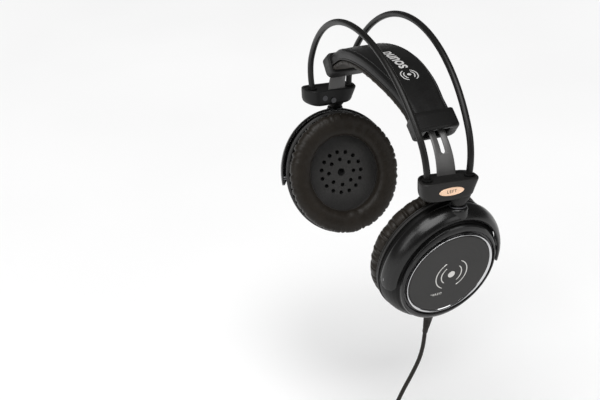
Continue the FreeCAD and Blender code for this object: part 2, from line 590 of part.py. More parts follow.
def make_cups():
    outer = HOUSING_OUTSIDE
    inner = ((RIM_R - SHELL, -HOUSING_DEPTH), (RIM_R - SHELL, -16.0), (43.6, -12.0), (41.0, -8.0),
             (38.6, -4.4), (0, -4.4))
    housing = oval(turned(outer + inner))
    for angle in SCREW_SPOTS:
        housing = housing.fuse(rod(on_circle(39.0, angle, -HOUSING_DEPTH + 0.1), on_circle(39.0, angle, -5.5), 2.8))
    for side in (-1, 1):
        boss = rod(V(side * 34.5, 0, -PIVOT_DEPTH), V(side * 41.4, 0, -PIVOT_DEPTH), 3.2)
        housing = housing.fuse(boss)
    for angle in SCREW_SPOTS:
        housing = housing.cut(rod(on_circle(39.0, angle, -HOUSING_DEPTH - 1), on_circle(39.0, angle, -7.0), 1.2))
    housing = housing.cut(rod(V(-60, 0, -PIVOT_DEPTH), V(-35.5, 0, -PIVOT_DEPTH), PIVOT_R))
    housing = housing.cut(rod(V(60, 0, -PIVOT_DEPTH), V(35.5, 0, -PIVOT_DEPTH), PIVOT_R))

    gland = rod(V(0, -40, -CORD_EXIT_DEPTH), V(0, -52, -CORD_EXIT_DEPTH), 2.6)
    save("cup_housing_left", at_cup(housing.cut(gland)))
    save("cup_housing_right", mirrored(at_cup(housing)))

    disc = turned(((0, -2.35), (0, -0.2), (20, 0.0), (31.2, 0.0), (DISC_R, -0.5), (DISC_R, -2.35)))
    save_pair("disc_plate", at_cup(disc))

    trim = turned(((DISC_R + 0.05, -2.35), (DISC_R + 0.05, 0.2), (32.4, 0.7), (33.1, 0.7), (TRIM_R, 0.1),
                   (TRIM_R, -2.35)))
    save_pair("trim_ring", at_cup(trim))

    bevel = oval(turned(((0, -2.35), (0, 0.2), (38.6, 0.2), (39.6, -0.4), (BEVEL_R, -2.35))))
    bevel = bevel.cut(rod(V(0, 0, -3), V(0, 0, 3), TRIM_R + 0.05))
    bevel = bevel.cut(rod(V(0, 0, -1.6), V(0, 0, 3), TRIM_R + 1.6))
    save_pair("bevel_ring", at_cup(bevel))

    face = -HOUSING_DEPTH - 0.05
    baffle = oval(turned(((0, face), (RIM_R + 0.5, face), (RIM_R + 0.5, face - 1.6), (RIM_R - 0.4, face - 2.2),
                          (0, face - 2.2))))
    for angle in range(0, 360, 45):
        baffle = baffle.cut(rod(on_circle(10.0, angle, face + 1), on_circle(10.0, angle, face - 4), 1.6))
    for angle in range(0, 360, 24):
        baffle = baffle.cut(rod(on_circle(16.0, angle, face + 1), on_circle(16.0, angle, face - 4), 1.6))
    baffle = baffle.cut(rod(V(0, 0, face + 1), V(0, 0, face - 4), 3.0))
    for angle in SCREW_SPOTS:
        baffle = baffle.cut(rod(on_circle(39.0, angle, face + 1), on_circle(39.0, angle, face - 4), 1.3))
    save_pair("baffle", at_cup(baffle))

    basket_ring = turned(((DRIVER_R - 1.5, face + 0.05), (DRIVER_R + 2.5, face + 0.05), (DRIVER_R + 2.5, face + 2.0),
                          (DRIVER_R, face + 3.2), (13.0, face + 5.6), (12.1, face + 5.6), (12.1, face + 3.6),
                          (DRIVER_R - 1.5, face + 1.6)))
    for angle in range(0, 360, 60):
        vent = rod(on_circle(16.0, angle, face + 1), on_circle(16.0, angle, face + 8), 2.2)
        basket_ring = basket_ring.cut(vent)
    save_pair("driver_basket", at_cup(basket_ring))

    magnet = turned(((0, face + 4.2), (7.0, face + 4.2), (7.0, face + 3.4), (12.0, face + 3.4),
                     (12.0, face + 10.6), (0, face + 10.6)))
    save_pair("driver_magnet", at_cup(magnet))

    cone = turned(((0, face + 2.9), (3.0, face + 2.7), (7.6, face + 1.5), (9.0, face + 1.3), (13.5, face + 2.0),
                   (18.4, face + 0.6), (18.4, face + 0.3), (13.5, face + 1.6), (9.0, face + 0.9),
                   (7.6, face + 1.1), (3.0, face + 2.3), (0, face + 2.5)))
    save_pair("diaphragm", at_cup(cone))

    pad = turned(((PAD_IN + 3.0, -PAD_FRONT), (PAD_OUT - 1.6, -PAD_FRONT), (PAD_OUT - 0.4, -26.0),
                  (PAD_OUT, -29.6), (PAD_OUT - 1.6, -34.4), (PAD_OUT - 6.0, -PAD_BACK + 0.3),
                  (36.5, -PAD_BACK), (PAD_IN + 3.6, -PAD_BACK + 1.2), (PAD_IN + 0.6, -33.0),
                  (PAD_IN, -29.6), (PAD_IN + 0.8, -25.6)))
    save_pair("ear_pad", at_cup(oval(pad)))

    pins = []
    for side in (-1, 1):
        tip = side * (YOKE_OUT_R * CUP_NARROW - 0.1)
        pins.append(rod(V(side * 35.6, 0, -PIVOT_DEPTH), V(tip, 0, -PIVOT_DEPTH), PIVOT_R))
    save_pair("pivot_pins", at_cup(Part.makeCompound(pins)))

    screws = []
    for angle in SCREW_SPOTS:
        shank = rod(on_circle(39.0, angle, face - 2.2), on_circle(39.0, angle, -8.0), 1.15)
        head = rod(on_circle(39.0, angle, face - 2.25), on_circle(39.0, angle, -PAD_FRONT + 0.05), 2.0)
        screws.append(shank.fuse(head).removeSplitter())
    save_pair("housing_screws", at_cup(Part.makeCompound(screws)))


# ================= lead =================

def cord_route():
    """Points of the free lead, from the tip of the strain relief to the coil's rim."""
    tip = cup_point(0, -CORD_EXIT_R, -CORD_EXIT_DEPTH)
    cx, cy, cz = COIL_CENTRE
    return [tip,
            V(70.0, -2.6, -182.0),
            V(69.2, -5.2, -194.0),
            V(67.7, -10.2, -206.0),
            V(66.3, -16.0, -217.5),
            V(65.2, -20.8, -228.0),
            V(cx - 1.0, cy + COIL_MEAN + 2.4, -238.3)]


def tail_route():
    """Points of the lead from the coil's rim round to the foot of the plug."""
    cx, cy, cz = COIL_CENTRE
    offsets = ((-12.0, -26.0), (-26.0, -31.0), (PLUG_SIDE, -20.0), (PLUG_SIDE, PLUG_FOOT))
    return [V(cx + TAIL_X, cy + y, cz + z) for y, z in offsets]


def arc_path(points):
    """Straight runs joined by tangent arcs, each as large as its two runs allow."""
    edges = []
    start = points[0]
    for before, at, after in zip(points, points[1:], points[2:]):
        come = (before - at)
        go = (after - at)
        shorter = min(come.Length, go.Length)
        cut = 0.45 * shorter
        come_way = V(come).normalize()
        go_way = V(go).normalize()
        turn = math.pi - come_way.getAngle(go_way)
        radius = cut / math.tan(turn / 2)
        enter = at + come_way * cut
        leave = at + go_way * cut
        half_way = (come_way + go_way).normalize()
        centre = at + half_way * math.hypot(radius, cut)
        middle = centre - half_way * radius
        edges.append(Part.LineSegment(start, enter).toShape())
        edges.append(Part.Arc(enter, middle, leave).toShape())
        start = leave
        print("cord bend radius %.1f mm (%.1f diameters)" % (radius, radius / CORD_D))
    edges.append(Part.LineSegment(start, points[-1]).toShape())
    length = sum(edge.Length for edge in edges)
    return Part.Wire(edges), length


def cord_tube(route):
    path, length = arc_path(route)
    section = Part.Wire([Part.Circle(route[0], route[1] - route[0], CORD_D / 2).toShape()])
    tube = path.makePipeShell([section], True, False)
    expected = math.pi * CORD_D ** 2 / 4 * length
    print("cord tube length %.1f, volume %.1f, section times length %.1f" % (length, tube.Volume, expected))
    return tube


def make_lead():
    relief_root = V(0, -RIM_R + 1.4, -CORD_EXIT_DEPTH)
    relief_tip = V(0, -CORD_EXIT_R, -CORD_EXIT_DEPTH)
    neck = rod(V(0, -40.5, -CORD_EXIT_DEPTH), relief_root, 2.55)
    cone = Part.makeCone(3.3, 2.1, (relief_tip - relief_root).Length - 1.3, relief_root - V(0, 1.3, 0), V(0, -1, 0))
    collar = Part.makeCone(3.6, 3.3, 1.4, relief_root + V(0, 0.1, 0), V(0, -1, 0))
    hull = oval(turned(HOUSING_OUTSIDE + ((0, -HOUSING_DEPTH),)))
    outside = cone.fuse(collar).cut(hull)
    relief = at_cup(neck.fuse(outside).removeSplitter())
    save("strain_relief", relief)

    route = cord_route()
    tube = cord_tube(route)

    cx, cy, cz = COIL_CENTRE
    reach = COIL_HALF_REACH
    width = COIL_HALF_WIDTH
    soft = 2.4
    coil = turned(((COIL_MEAN - reach, -width + soft), (COIL_MEAN - reach + soft, -width),
                   (COIL_MEAN + reach - soft, -width), (COIL_MEAN + reach, -width + soft),
                   (COIL_MEAN + reach, width - soft), (COIL_MEAN + reach - soft, width),
                   (COIL_MEAN - reach + soft, width), (COIL_MEAN - reach, width - soft)))
    coil.rotate(V(0, 0, 0), V(0, 1, 0), 90)
    coil.translate(V(cx, cy, cz))
    save("cord_coil", coil)
    tail = cord_tube(tail_route())
    save("cord_tube", Part.makeCompound([tube.cut(coil).cut(relief), tail.cut(coil)]))

    grip = turned(((0, 0), (2.2, 0), (2.4, 8), (PLUG_GRIP_R, 9), (PLUG_GRIP_R, 24), (2.6, 25.5), (0, 25.5)))
    contact = turned(((0, 25.5), (2.4, 25.5), (2.4, 26.6), (PLUG_SLEEVE_R, 26.6), (PLUG_SLEEVE_R, 37.0),
                      (1.3, 37.4), (1.3, 37.9), (1.7, 38.6), (1.1, 40.4), (0, 40.6)))
    plug_at = V(cx + TAIL_X, cy + PLUG_SIDE, cz + PLUG_FOOT)
    for shape, name in ((grip, "plug_grip"), (contact, "plug_contact")):
        shape.translate(plug_at)
        save(name, shape)

    tie = Part.makeBox(2 * width + 1.2, 5.0, 2 * reach + 1.2,
                       V(cx - width - 0.6, cy - 2.5, cz - COIL_MEAN - reach - 0.6))
    save("coil_tie", tie.cut(coil))


def main():
    os.makedirs(PARTS, exist_ok=True)
    make_headband()
    make_caps()
    make_straps()

    sleeves = []
    wires = []
    for side, name in ((-1, "front"), (1, "rear")):
        wire_solid = arch_rod(WIRE_R, WIRE_TAIL, side)
        sleeve_full = arch_rod(SLEEVE_R, SLEEVE_TAIL, side)
        save("arch_wire_" + name, wire_solid)
        save("arch_sleeve_" + name, sleeve_full.cut(wire_solid))
        sleeves.append(sleeve_full)
        wires.append(wire_solid)
    make_blocks(sleeves, wires)
    save_pair("badge", badge_solid(0.1))
    make_yokes()
    make_cups()
    make_lead()


main()
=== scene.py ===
import math

import bmesh
import bpy
from mathutils import Matrix, Vector, noise


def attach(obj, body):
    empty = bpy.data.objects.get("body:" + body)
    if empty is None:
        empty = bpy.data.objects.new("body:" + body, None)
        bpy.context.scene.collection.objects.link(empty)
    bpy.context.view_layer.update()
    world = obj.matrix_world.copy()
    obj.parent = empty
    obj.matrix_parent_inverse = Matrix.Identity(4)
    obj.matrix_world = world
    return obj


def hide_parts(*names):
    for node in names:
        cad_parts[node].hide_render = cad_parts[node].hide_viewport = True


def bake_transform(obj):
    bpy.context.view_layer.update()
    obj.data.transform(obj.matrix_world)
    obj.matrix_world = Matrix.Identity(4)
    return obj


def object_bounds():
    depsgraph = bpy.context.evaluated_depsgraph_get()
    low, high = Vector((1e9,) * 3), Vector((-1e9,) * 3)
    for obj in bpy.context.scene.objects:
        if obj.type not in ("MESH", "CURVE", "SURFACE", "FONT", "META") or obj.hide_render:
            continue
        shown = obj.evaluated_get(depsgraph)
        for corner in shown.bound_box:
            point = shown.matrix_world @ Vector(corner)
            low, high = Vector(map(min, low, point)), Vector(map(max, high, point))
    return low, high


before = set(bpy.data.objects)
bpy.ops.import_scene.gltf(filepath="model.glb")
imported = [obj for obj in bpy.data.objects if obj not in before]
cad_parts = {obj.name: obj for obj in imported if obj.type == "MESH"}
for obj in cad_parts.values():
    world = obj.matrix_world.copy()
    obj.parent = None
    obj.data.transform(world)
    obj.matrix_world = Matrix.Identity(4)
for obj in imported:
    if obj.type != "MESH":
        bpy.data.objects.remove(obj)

CAD_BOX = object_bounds()
MM = 0.001

# Corded closed-back headphones.  Lengths below are in millimetres unless a name says otherwise;
# every mesh is built in millimetres and scaled to metres when its object is made.
SIDES = {"left": 1, "right": -1}

# ---- sizes shared with the CAD model ----
ROOT = Vector((99.9, 15.4, -41.5))      # where the rear rod enters the left block
BAND_TOP, BAND_R1, BAND_T1, BAND_R2 = 13.0, 150.0, 15.0, 108.0
BAND_END, BAND_HALF, BAND_THICK = 34.6, 14.4, 13.0
BAND_CROWN_HALF, BAND_PLAIN_X, BAND_Y = 19.1, 62.0, 2.0
CAP_HALF = 15.8
STRAP_OFFSET, STRAP_R, STRAP_START, STRAP_ROOT = -5.0, 33.0, 44.5, 84.0
STRAP_TOP_HALF, STRAP_HALF, STRAP_THICK = 6.0, 6.8, 1.4
BLOCK_SLOPE = 2.5
FLOOR_GAP = 0.004                       # metres under the lowest point
BADGE_Y, BADGE_Z = -2.3, -6.9           # height is below the block's rim
STEM = Vector((104.0, 5.0, -61.2))      # under side of the block's neck
CUP_CENTRE = Vector((100.8, 1.3, -113.2))
CUP_YAW, CUP_DROP = 6.4, 16.6
CUP_NARROW = 0.92
TRIM_R, BEVEL_R, RIM_R = 33.6, 40.5, 47.2
PAD_OUT, PAD_IN, PAD_FRONT, PAD_BACK = 47.4, 29.0, 23.3, 37.3
CORD_D = 3.0
COIL_CENTRE = Vector((63.8, -45.5, -260.0))
COIL_MEAN = 18.6
TAIL_X, PLUG_SIDE, PLUG_FOOT = 4.6, -36.0, -7.0


def cup_matrix():
    """Cup frame: X rearward, Y up, Z out of the left cup's face."""
    yaw, drop = math.radians(CUP_YAW), math.radians(-CUP_DROP)
    out = Vector((math.cos(yaw) * math.cos(drop), math.sin(yaw) * math.cos(drop), math.sin(drop)))
    up = (Vector((0, 0, 1)) - out * out.z).normalized()
    rear = up.cross(out)
    rows = [(rear[i], up[i], out[i], CUP_CENTRE[i]) for i in range(3)]
    return Matrix(rows + [(0, 0, 0, 1)])


CUP = cup_matrix()


# ================= camera, floor and light =================

AZIMUTH, ELEVATION, ROLL = 69.2, 24.0, -2.0
CAMERA_DISTANCE = 1.0028
AIM_RIGHT, AIM_UP = -0.0605, -0.0525    # metres from the middle of the rods' roots


def make_camera():
    a, e, roll = (math.radians(v) for v in (AZIMUTH, ELEVATION, ROLL))
    right = Vector((math.cos(a), math.sin(a), 0))
    up = Vector((-math.sin(a) * math.sin(e), math.cos(a) * math.sin(e), math.cos(e)))
    back = right.cross(up)
    turned_right = right * math.cos(roll) + up * math.sin(roll)
    turned_up = up * math.cos(roll) - right * math.sin(roll)
    aim = Vector((0, 0, ROOT.z * MM)) + turned_right * AIM_RIGHT + turned_up * AIM_UP
    data = bpy.data.cameras.new("camera")
    data.lens = 84.0
    data.sensor_width = 36.0
    data.clip_start, data.clip_end = 0.01, 50.0
    camera = bpy.data.objects.new("camera", data)
    bpy.context.scene.collection.objects.link(camera)
    turn = Matrix((turned_right, turned_up, back)).transposed().to_4x4()
    camera.matrix_world = Matrix.Translation(aim + back * CAMERA_DISTANCE) @ turn
    bpy.context.scene.camera = camera


def add_light(name, size, power, at, look, colour=(1, 1, 1)):
    data = bpy.data.lights.new(name, "AREA")
    data.shape = "RECTANGLE"
    data.size, data.size_y = size
    data.energy = power
    data.color = colour
    light = bpy.data.objects.new(name, data)
    bpy.context.scene.collection.objects.link(light)
    light.location = at
    light.rotation_euler = (Vector(look) - Vector(at)).to_track_quat("-Z", "Y").to_euler()


def make_studio():
    middle = (0.02, 0.0, -0.06)
    sun = bpy.data.lights.new("overhead_sky", "SUN")
    sun.energy = 3.1
    sun.angle = math.radians(50.0)
    sky = bpy.data.objects.new("overhead_sky", sun)
    bpy.context.scene.collection.objects.link(sky)
    sky.rotation_euler = Vector((-0.35, 0.25, -1.0)).to_track_quat("-Z", "Y").to_euler()
    add_light("softbox_front", (0.45, 0.7), 3.0, (0.30, -1.0, 0.45), middle)
    add_light("softbox_side", (0.5, 0.5), 1.5, (0.9, 0.55, 0.35), middle)
    world = bpy.data.worlds.new("studio")
    bpy.context.scene.world = world
    world.use_nodes = True
    world.node_tree.nodes["Background"].inputs["Color"].default_value = (1.0, 1.0, 1.0, 1.0)
    world.node_tree.nodes["Background"].inputs["Strength"].default_value = 0.10
    bpy.context.scene.view_settings.view_transform = "Standard"

    low = CAD_BOX[0][2] - FLOOR_GAP
    mesh = bpy.data.meshes.new("floor")
    reach = 12.0
    mesh.from_pydata([(-reach, -reach, low), (reach, -reach, low), (reach, reach, low),
                      (-reach, reach, low)],
                     [], [(0, 1, 2, 3)])
    floor = bpy.data.objects.new("floor", mesh)
    bpy.context.scene.collection.objects.link(floor)
    paint = Paint("studio_floor")
    grain = paint.add("ShaderNodeTexNoise", {"Vector": paint.place, "Scale": 3.0})
    tone = paint.ramp(grain.outputs["Fac"], (0.3, (0.90, 0.90, 0.90, 1)), (0.7, (0.93, 0.93, 0.93, 1)))
    paint.finish(base=tone, rough=0.9)
    floor.data.materials.append(paint.material)


# ================= materials =================

class Paint:
    """A procedural material under construction."""

    def __init__(self, name):
        self.material = bpy.data.materials.new(name)
        self.material.use_nodes = True
        self.tree = self.material.node_tree
        self.shader = self.tree.nodes["Principled BSDF"]
        self.place = self.add("ShaderNodeTexCoord").outputs["Object"]
        self.normal = None

    def put(self, socket, value):
        if isinstance(value, bpy.types.NodeSocket):
            self.tree.links.new(value, socket)
        else:
            socket.default_value = value

    def add(self, kind, inputs=None, **settings):
        made = self.tree.nodes.new(kind)
        for key, value in settings.items():
            setattr(made, key, value)
        for key, value in (inputs or {}).items():
            self.put(made.inputs[key], value)
        return made

    def math(self, operation, first, second=0.0, clamp=False):
        made = self.add("ShaderNodeMath", {0: first, 1: second}, operation=operation, use_clamp=clamp)
        return made.outputs[0]

    def noise(self, scale, detail=3.0, rough=0.55, place=None, distortion=0.0):
        made = self.add("ShaderNodeTexNoise", {"Vector": place or self.place, "Scale": scale,
                                               "Detail": detail,
                                               "Roughness": rough, "Distortion": distortion})
        return made.outputs["Fac"]

    def cells(self, scale, feature="F1", place=None, randomness=1.0):
        made = self.add("ShaderNodeTexVoronoi", {"Vector": place or self.place, "Scale": scale,
                                                 "Randomness": randomness}, feature=feature)
        return made.outputs["Distance"]

    def stretch(self, scale, turn=(0, 0, 0)):
        made = self.add("ShaderNodeMapping", {"Vector": self.place, "Scale": scale, "Rotation": turn})
        return made.outputs["Vector"]

    def ramp(self, value, first, last, middle=None):
        made = self.add("ShaderNodeValToRGB", {"Fac": value})
        stops = made.color_ramp.elements
        stops[0].position, stops[0].color = first
        stops[1].position, stops[1].color = last
        if middle:
            stop = stops.new(middle[0])
            stop.color = middle[1]
        return made.outputs["Color"]

    def span(self, value, low, high, start=0.0, end=1.0):
        made = self.add("ShaderNodeMapRange", {"Value": value, "From Min": start, "From Max": end,
                                               "To Min": low, "To Max": high})
        return made.outputs["Result"]

    def mix(self, factor, first, second, blend="MIX"):
        made = self.add("ShaderNodeMix", {"Factor": factor}, data_type="RGBA", blend_type=blend)
        self.put(made.inputs[6], first)
        self.put(made.inputs[7], second)
        return made.outputs[2]

    def bump(self, height, strength, distance):
        """Stack one more layer of relief; distance is in metres."""
        inputs = {"Height": height, "Strength": strength, "Distance": distance}
        if self.normal is not None:
            inputs["Normal"] = self.normal
        self.normal = self.add("ShaderNodeBump", inputs).outputs["Normal"]

    def finish(self, base, rough, **fixed):
        self.put(self.shader.inputs["Base Color"], base)
        self.put(self.shader.inputs["Roughness"], rough)
        for key, value in fixed.items():
            self.put(self.shader.inputs[key.replace("_", " ")], value)
        if self.normal is not None:
            self.put(self.shader.inputs["Normal"], self.normal)
        return self.material


def grey(value, warmth=0.0):
    return (value * (1 + warmth), value, value * (1 - warmth), 1)


def moulded(name, tone, rough, grain=0.5, warmth=0.03, coat=0.0, specular=0.22):
    """Moulded plastic: spark-eroded grain, faint flow clouds, lighter worn edges, handling marks."""
    paint = Paint(name)
    cloud = paint.noise(45.0, 4.0)
    base = paint.ramp(cloud, (0.3, grey(tone * 0.86, warmth)), (0.75, grey(tone * 1.16, warmth)))
    edge = paint.add("ShaderNodeNewGeometry").outputs["Pointiness"]
    worn = paint.math("MULTIPLY", paint.span(edge, 0.0, 0.5, 0.53, 0.62), paint.noise(700.0, 3.0),
                      clamp=True)
    base = paint.mix(worn, base, grey(min(1.0, tone * 2.6 + 0.03), warmth))
    marks = paint.noise(1.0, 5.0, 0.6, paint.stretch((260.0, 900.0, 420.0), (0.3, 0.5, 0.2)))
    gloss = paint.math("ADD", paint.span(cloud, rough - 0.05, rough + 0.05), paint.span(marks, -0.04, 0.06))
    paint.bump(paint.cells(2600.0), 0.12 * grain, 0.00004)
    paint.bump(paint.noise(5200.0, 2.0), 0.22 * grain, 0.00003)
    fixed = {"Specular IOR Level": specular}
    if coat:
        fixed.update({"Coat Weight": coat, "Coat Roughness": 0.06})
    return paint.finish(base, gloss, **fixed)


def leatherette(name, tone, warmth, rough, pebble=0.35, crease=0.25, sheen=0.1):
    """Coated cloth: fine pebbled skin, hair-line creases and slightly rubbed high spots."""
    paint = Paint(name)
    cloud = paint.noise(60.0, 5.0, 0.6)
    skin = paint.cells(1150.0, "SMOOTH_F1")
    lines = paint.cells(330.0, "DISTANCE_TO_EDGE", paint.stretch((1.0, 1.7, 1.0)))
    base = paint.ramp(cloud, (0.28, grey(tone * 0.75, warmth)), (0.78, grey(tone * 1.3, warmth)))
    base = paint.mix(paint.span(skin, 0.0, 0.35, 0.2, 0.9), base, grey(tone * 1.9, warmth))
    gloss = paint.math("ADD", paint.span(cloud, rough - 0.08, rough + 0.10), paint.span(skin, -0.03, 0.06))
    paint.bump(paint.span(lines, 0.0, 1.0, 0.0, 0.12), 0.35 * crease, 0.0002)
    paint.bump(skin, 0.5 * pebble, 0.00018)
    paint.bump(paint.noise(3600.0, 2.0), 0.2, 0.00004)
    return paint.finish(base, gloss, **{"Sheen Weight": sheen, "Sheen Roughness": 0.4,
                                        "Specular IOR Level": 0.18})


def metal(name, colour, rough, brush=(1.0, 1.0, 60.0), depth=0.15, metallic=1.0, scale=220.0):
    """Plated or drawn metal: fine directional lines, faint smudges and tiny pits."""
    paint = Paint(name)
    lines = paint.noise(scale, 5.0, 0.7, paint.stretch(brush))
    smudge = paint.noise(90.0, 4.0)
    dark = tuple(c * 0.86 for c in colour) + (1,)
    light = tuple(min(1.0, c * 1.08) for c in colour) + (1,)
    base = paint.ramp(lines, (0.3, dark), (0.7, light))
    gloss = paint.math("ADD", paint.span(lines, rough * 0.7, rough * 1.3), paint.span(smudge, -0.02, 0.05))
    paint.bump(lines, depth, 0.00002)
    return paint.finish(base, gloss, Metallic=metallic)


def spun_disc(name, side):
    """Charcoal face plate with fine lines turned round its own centre."""
    paint = Paint(name)
    k = SIDES[side]
    centre = Vector((k * CUP_CENTRE.x, CUP_CENTRE.y, CUP_CENTRE.z)) * MM
    out = CUP.to_3x3() @ Vector((0, 0, 1))
    out = Vector((k * out.x, out.y, out.z))
    away = paint.add("ShaderNodeVectorMath", {0: paint.place, 1: centre}, operation="SUBTRACT").outputs[0]
    depth = paint.add("ShaderNodeVectorMath", {0: away, 1: out}, operation="DOT_PRODUCT").outputs["Value"]
    total = paint.add("ShaderNodeVectorMath", {0: away}, operation="LENGTH").outputs["Value"]
    radius = paint.math("SQRT", paint.math("SUBTRACT", paint.math("MULTIPLY", total, total),
                                           paint.math("MULTIPLY", depth, depth)))
    across = paint.add("ShaderNodeCombineXYZ", {"X": paint.math("MULTIPLY", radius, 9000.0)}).outputs[0]
    drift = paint.add("ShaderNodeVectorMath", {0: away, "Scale": 40.0}, operation="SCALE").outputs[0]
    lines = paint.noise(1.0, 4.0, 0.7, paint.add("ShaderNodeVectorMath", {0: across, 1: drift}).outputs[0])
    cloud = paint.noise(38.0, 3.0)
    base = paint.ramp(lines, (0.25, grey(0.016, 0.03)), (0.75, grey(0.034, 0.03)))
    base = paint.mix(paint.span(cloud, 0.0, 0.35), base, grey(0.024, 0.03))
    gloss = paint.math("ADD", paint.span(lines, 0.30, 0.42), paint.span(cloud, -0.04, 0.05))
    paint.bump(lines, 0.10, 0.00003)
    return paint.finish(base, gloss, **{"Metallic": 0.45, "Specular IOR Level": 0.2, "Anisotropic": 0.35,
                                        "Coat Weight": 0.12,
                                        "Coat Roughness": 0.15})


def woven(name, tone, scale=1800.0):
    """Tight braid or webbing."""
    paint = Paint(name)
    waves = []
    for turn in (0.785, -0.785):
        spot = paint.stretch((1, 1, 1), (turn, turn, turn))
        made = paint.add("ShaderNodeTexWave", {"Vector": spot, "Scale": scale * 0.3, "Distortion": 1.5,
                                               "Detail": 2.0})
        waves.append(made.outputs["Fac"])
    weave = paint.math("MULTIPLY", waves[0], waves[1])
    base = paint.ramp(weave, (0.1, grey(tone * 0.6)), (0.9, grey(tone * 1.7)))
    paint.bump(weave, 0.6, 0.0002)
    return paint.finish(base, paint.span(weave, 0.75, 0.95), **{"Sheen Weight": 0.3})


def make_materials():
    look = {
        "band_skin": leatherette("band_skin", 0.0065, 0.02, 0.40, pebble=0.18, crease=0.10, sheen=0.01),
        "band_lining": leatherette("band_lining", 0.020, 0.16, 0.52, pebble=0.5, crease=0.5, sheen=0.06),
        "pad_skin": leatherette("pad_skin", 0.011, 0.24, 0.40, pebble=0.4, crease=0.7, sheen=0.04),
        "piping": leatherette("piping", 0.012, 0.06, 0.38, pebble=0.25, crease=0.1, sheen=0.02),
        "thread": woven("thread", 0.02, 5200.0),
        "cap": moulded("cap", 0.006, 0.34, 0.8),
        "cap_inner": moulded("cap_inner", 0.010, 0.42, 0.9),
        "strap": moulded("strap", 0.075, 0.40, 0.5, warmth=0.02, specular=0.5),
        "sleeve": moulded("sleeve", 0.007, 0.36, 0.35, warmth=0.05, specular=0.26),
        "block": moulded("block", 0.016, 0.42, 1.0, warmth=0.04),
        "block_inner": moulded("block_inner", 0.006, 0.42, 1.0, warmth=0.0),
        "insert": moulded("insert", 0.003, 0.45, 0.6, specular=0.1),
        "rubber": moulded("rubber", 0.005, 0.50, 1.2),
        "yoke": moulded("yoke", 0.004, 0.27, 0.1, coat=0.06, specular=0.36),
        "housing": moulded("housing", 0.004, 0.40, 0.25, coat=0.0, specular=0.12),
        "bevel": moulded("bevel", 0.006, 0.20, 0.2, coat=0.0, warmth=0.0, specular=0.4),
        "baffle": moulded("baffle", 0.020, 0.50, 1.0),
        "basket": moulded("basket", 0.02, 0.45, 0.8),
        "cord": moulded("cord", 0.014, 0.46, 0.5, warmth=0.16),
        "grip": moulded("grip", 0.010, 0.40, 0.8),
        "chrome": metal("chrome", (0.62, 0.62, 0.63), 0.08, depth=0.04),
        "silver": metal("silver", (0.62, 0.61, 0.59), 0.28, depth=0.08),
        "gold_badge": metal("gold_badge", (0.98, 0.66, 0.47), 0.42, brush=(1.0, 1.0, 30.0), depth=0.12,
                            metallic=0.55),
        "gold_contact": metal("gold_contact", (0.93, 0.74, 0.40), 0.16, depth=0.06),
        "steel": metal("steel", (0.30, 0.30, 0.31), 0.30),
        "dark_steel": metal("dark_steel", (0.08, 0.08, 0.085), 0.36),
        "print": moulded("print", 0.42, 0.38, 0.3, warmth=0.01),
        "ink": moulded("ink", 0.03, 0.45, 0.3, warmth=0.4),
        "braid": woven("braid", 0.012),
        "scrim": woven("scrim", 0.012, 2600.0),
    }
    for side in SIDES:
        look["disc_" + side] = spun_disc("disc_" + side, side)
    return look


# ================= mesh tools =================

def piece(name, points, faces, look, body, sharp=32.0, mirror=False, replaces=()):
    """Make an object from points in millimetres, and bind it to its body."""
    k = -1 if mirror else 1
    mesh = bpy.data.meshes.new(name)
    mesh.from_pydata([(k * p[0] * MM, p[1] * MM, p[2] * MM) for p in points], [], faces)
    mesh.validate()
    work = bmesh.new()
    work.from_mesh(mesh)
    bmesh.ops.remove_doubles(work, verts=work.verts, dist=0.000002)
    bmesh.ops.recalc_face_normals(work, faces=work.faces)
    work.to_mesh(mesh)
    work.free()
    mesh.shade_smooth()
    mesh.set_sharp_from_angle(angle=math.radians(sharp))
    made = bpy.data.objects.new(name, mesh)
    bpy.context.scene.collection.objects.link(made)
    mesh.materials.append(LOOK[look])
    if body:
        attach(made, body)
    if replaces:
        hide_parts(*replaces)
    return made


def grid_faces(rows, columns, wrap_rows, wrap_columns, start=0):
    """Quads of a grid of points stored row by row."""
    faces = []
    for r in range(rows if wrap_rows else rows - 1):
        for c in range(columns if wrap_columns else columns - 1):
            r2, c2 = (r + 1) % rows, (c + 1) % columns
            faces.append((start + r * columns + c, start + r * columns + c2,
                          start + r2 * columns + c2, start + r2 * columns + c))
    return faces


def loft(rings, closed=False, caps=True):
    """Points and faces through rings of equal length; capped with fans of one n-gon each."""
    points = [p for ring in rings for p in ring]
    count = len(rings[0])
    faces = grid_faces(len(rings), count, closed, True)
    if caps and not closed:
        faces.append(tuple(reversed(range(count))))
        faces.append(tuple(len(points) - count + i for i in range(count)))
    return points, faces


def rounded(outline, radius, steps=4, closed=True):
    """Round the corners of an outline of (a, b) points."""
    points = []
    count = len(outline)
    for i, corner in enumerate(outline):
        at = Vector(corner)
        if not closed and i in (0, count - 1):
            points.append(at)
            continue
        before = Vector(outline[i - 1]) - at
        after = Vector(outline[(i + 1) % count]) - at
        turn = math.pi - before.angle(after)
        reach = min(radius * math.tan(turn / 2), before.length * 0.45, after.length * 0.45)
        if turn < 0.05:
            points.append(at)
            continue
        first, last = at + before.normalized() * reach, at + after.normalized() * reach
        for s in range(steps + 1):
            t = s / steps
            points.append(first * (1 - t) ** 2 + at * 2 * t * (1 - t) + last * t ** 2)
    return points


def lathe(outline, frame_matrix, segments=160, narrow=lambda r: 1.0, start=0.0, sweep=360.0):
    """Turn a closed outline of (radius, height) about the frame's Z axis."""
    whole = sweep >= 360.0
    rings = []
    for s in range(segments if whole else segments + 1):
        angle = math.radians(start + sweep * s / segments)
        rings.append([frame_matrix @ Vector((p[0] * math.cos(angle) * narrow(p[0]), p[0] * math.sin(angle),
                                             p[1]))
                      for p in outline])
    return loft(rings, closed=whole)


def oval(_radius):
    """The cup's narrowing, the same at every radius."""
    return CUP_NARROW


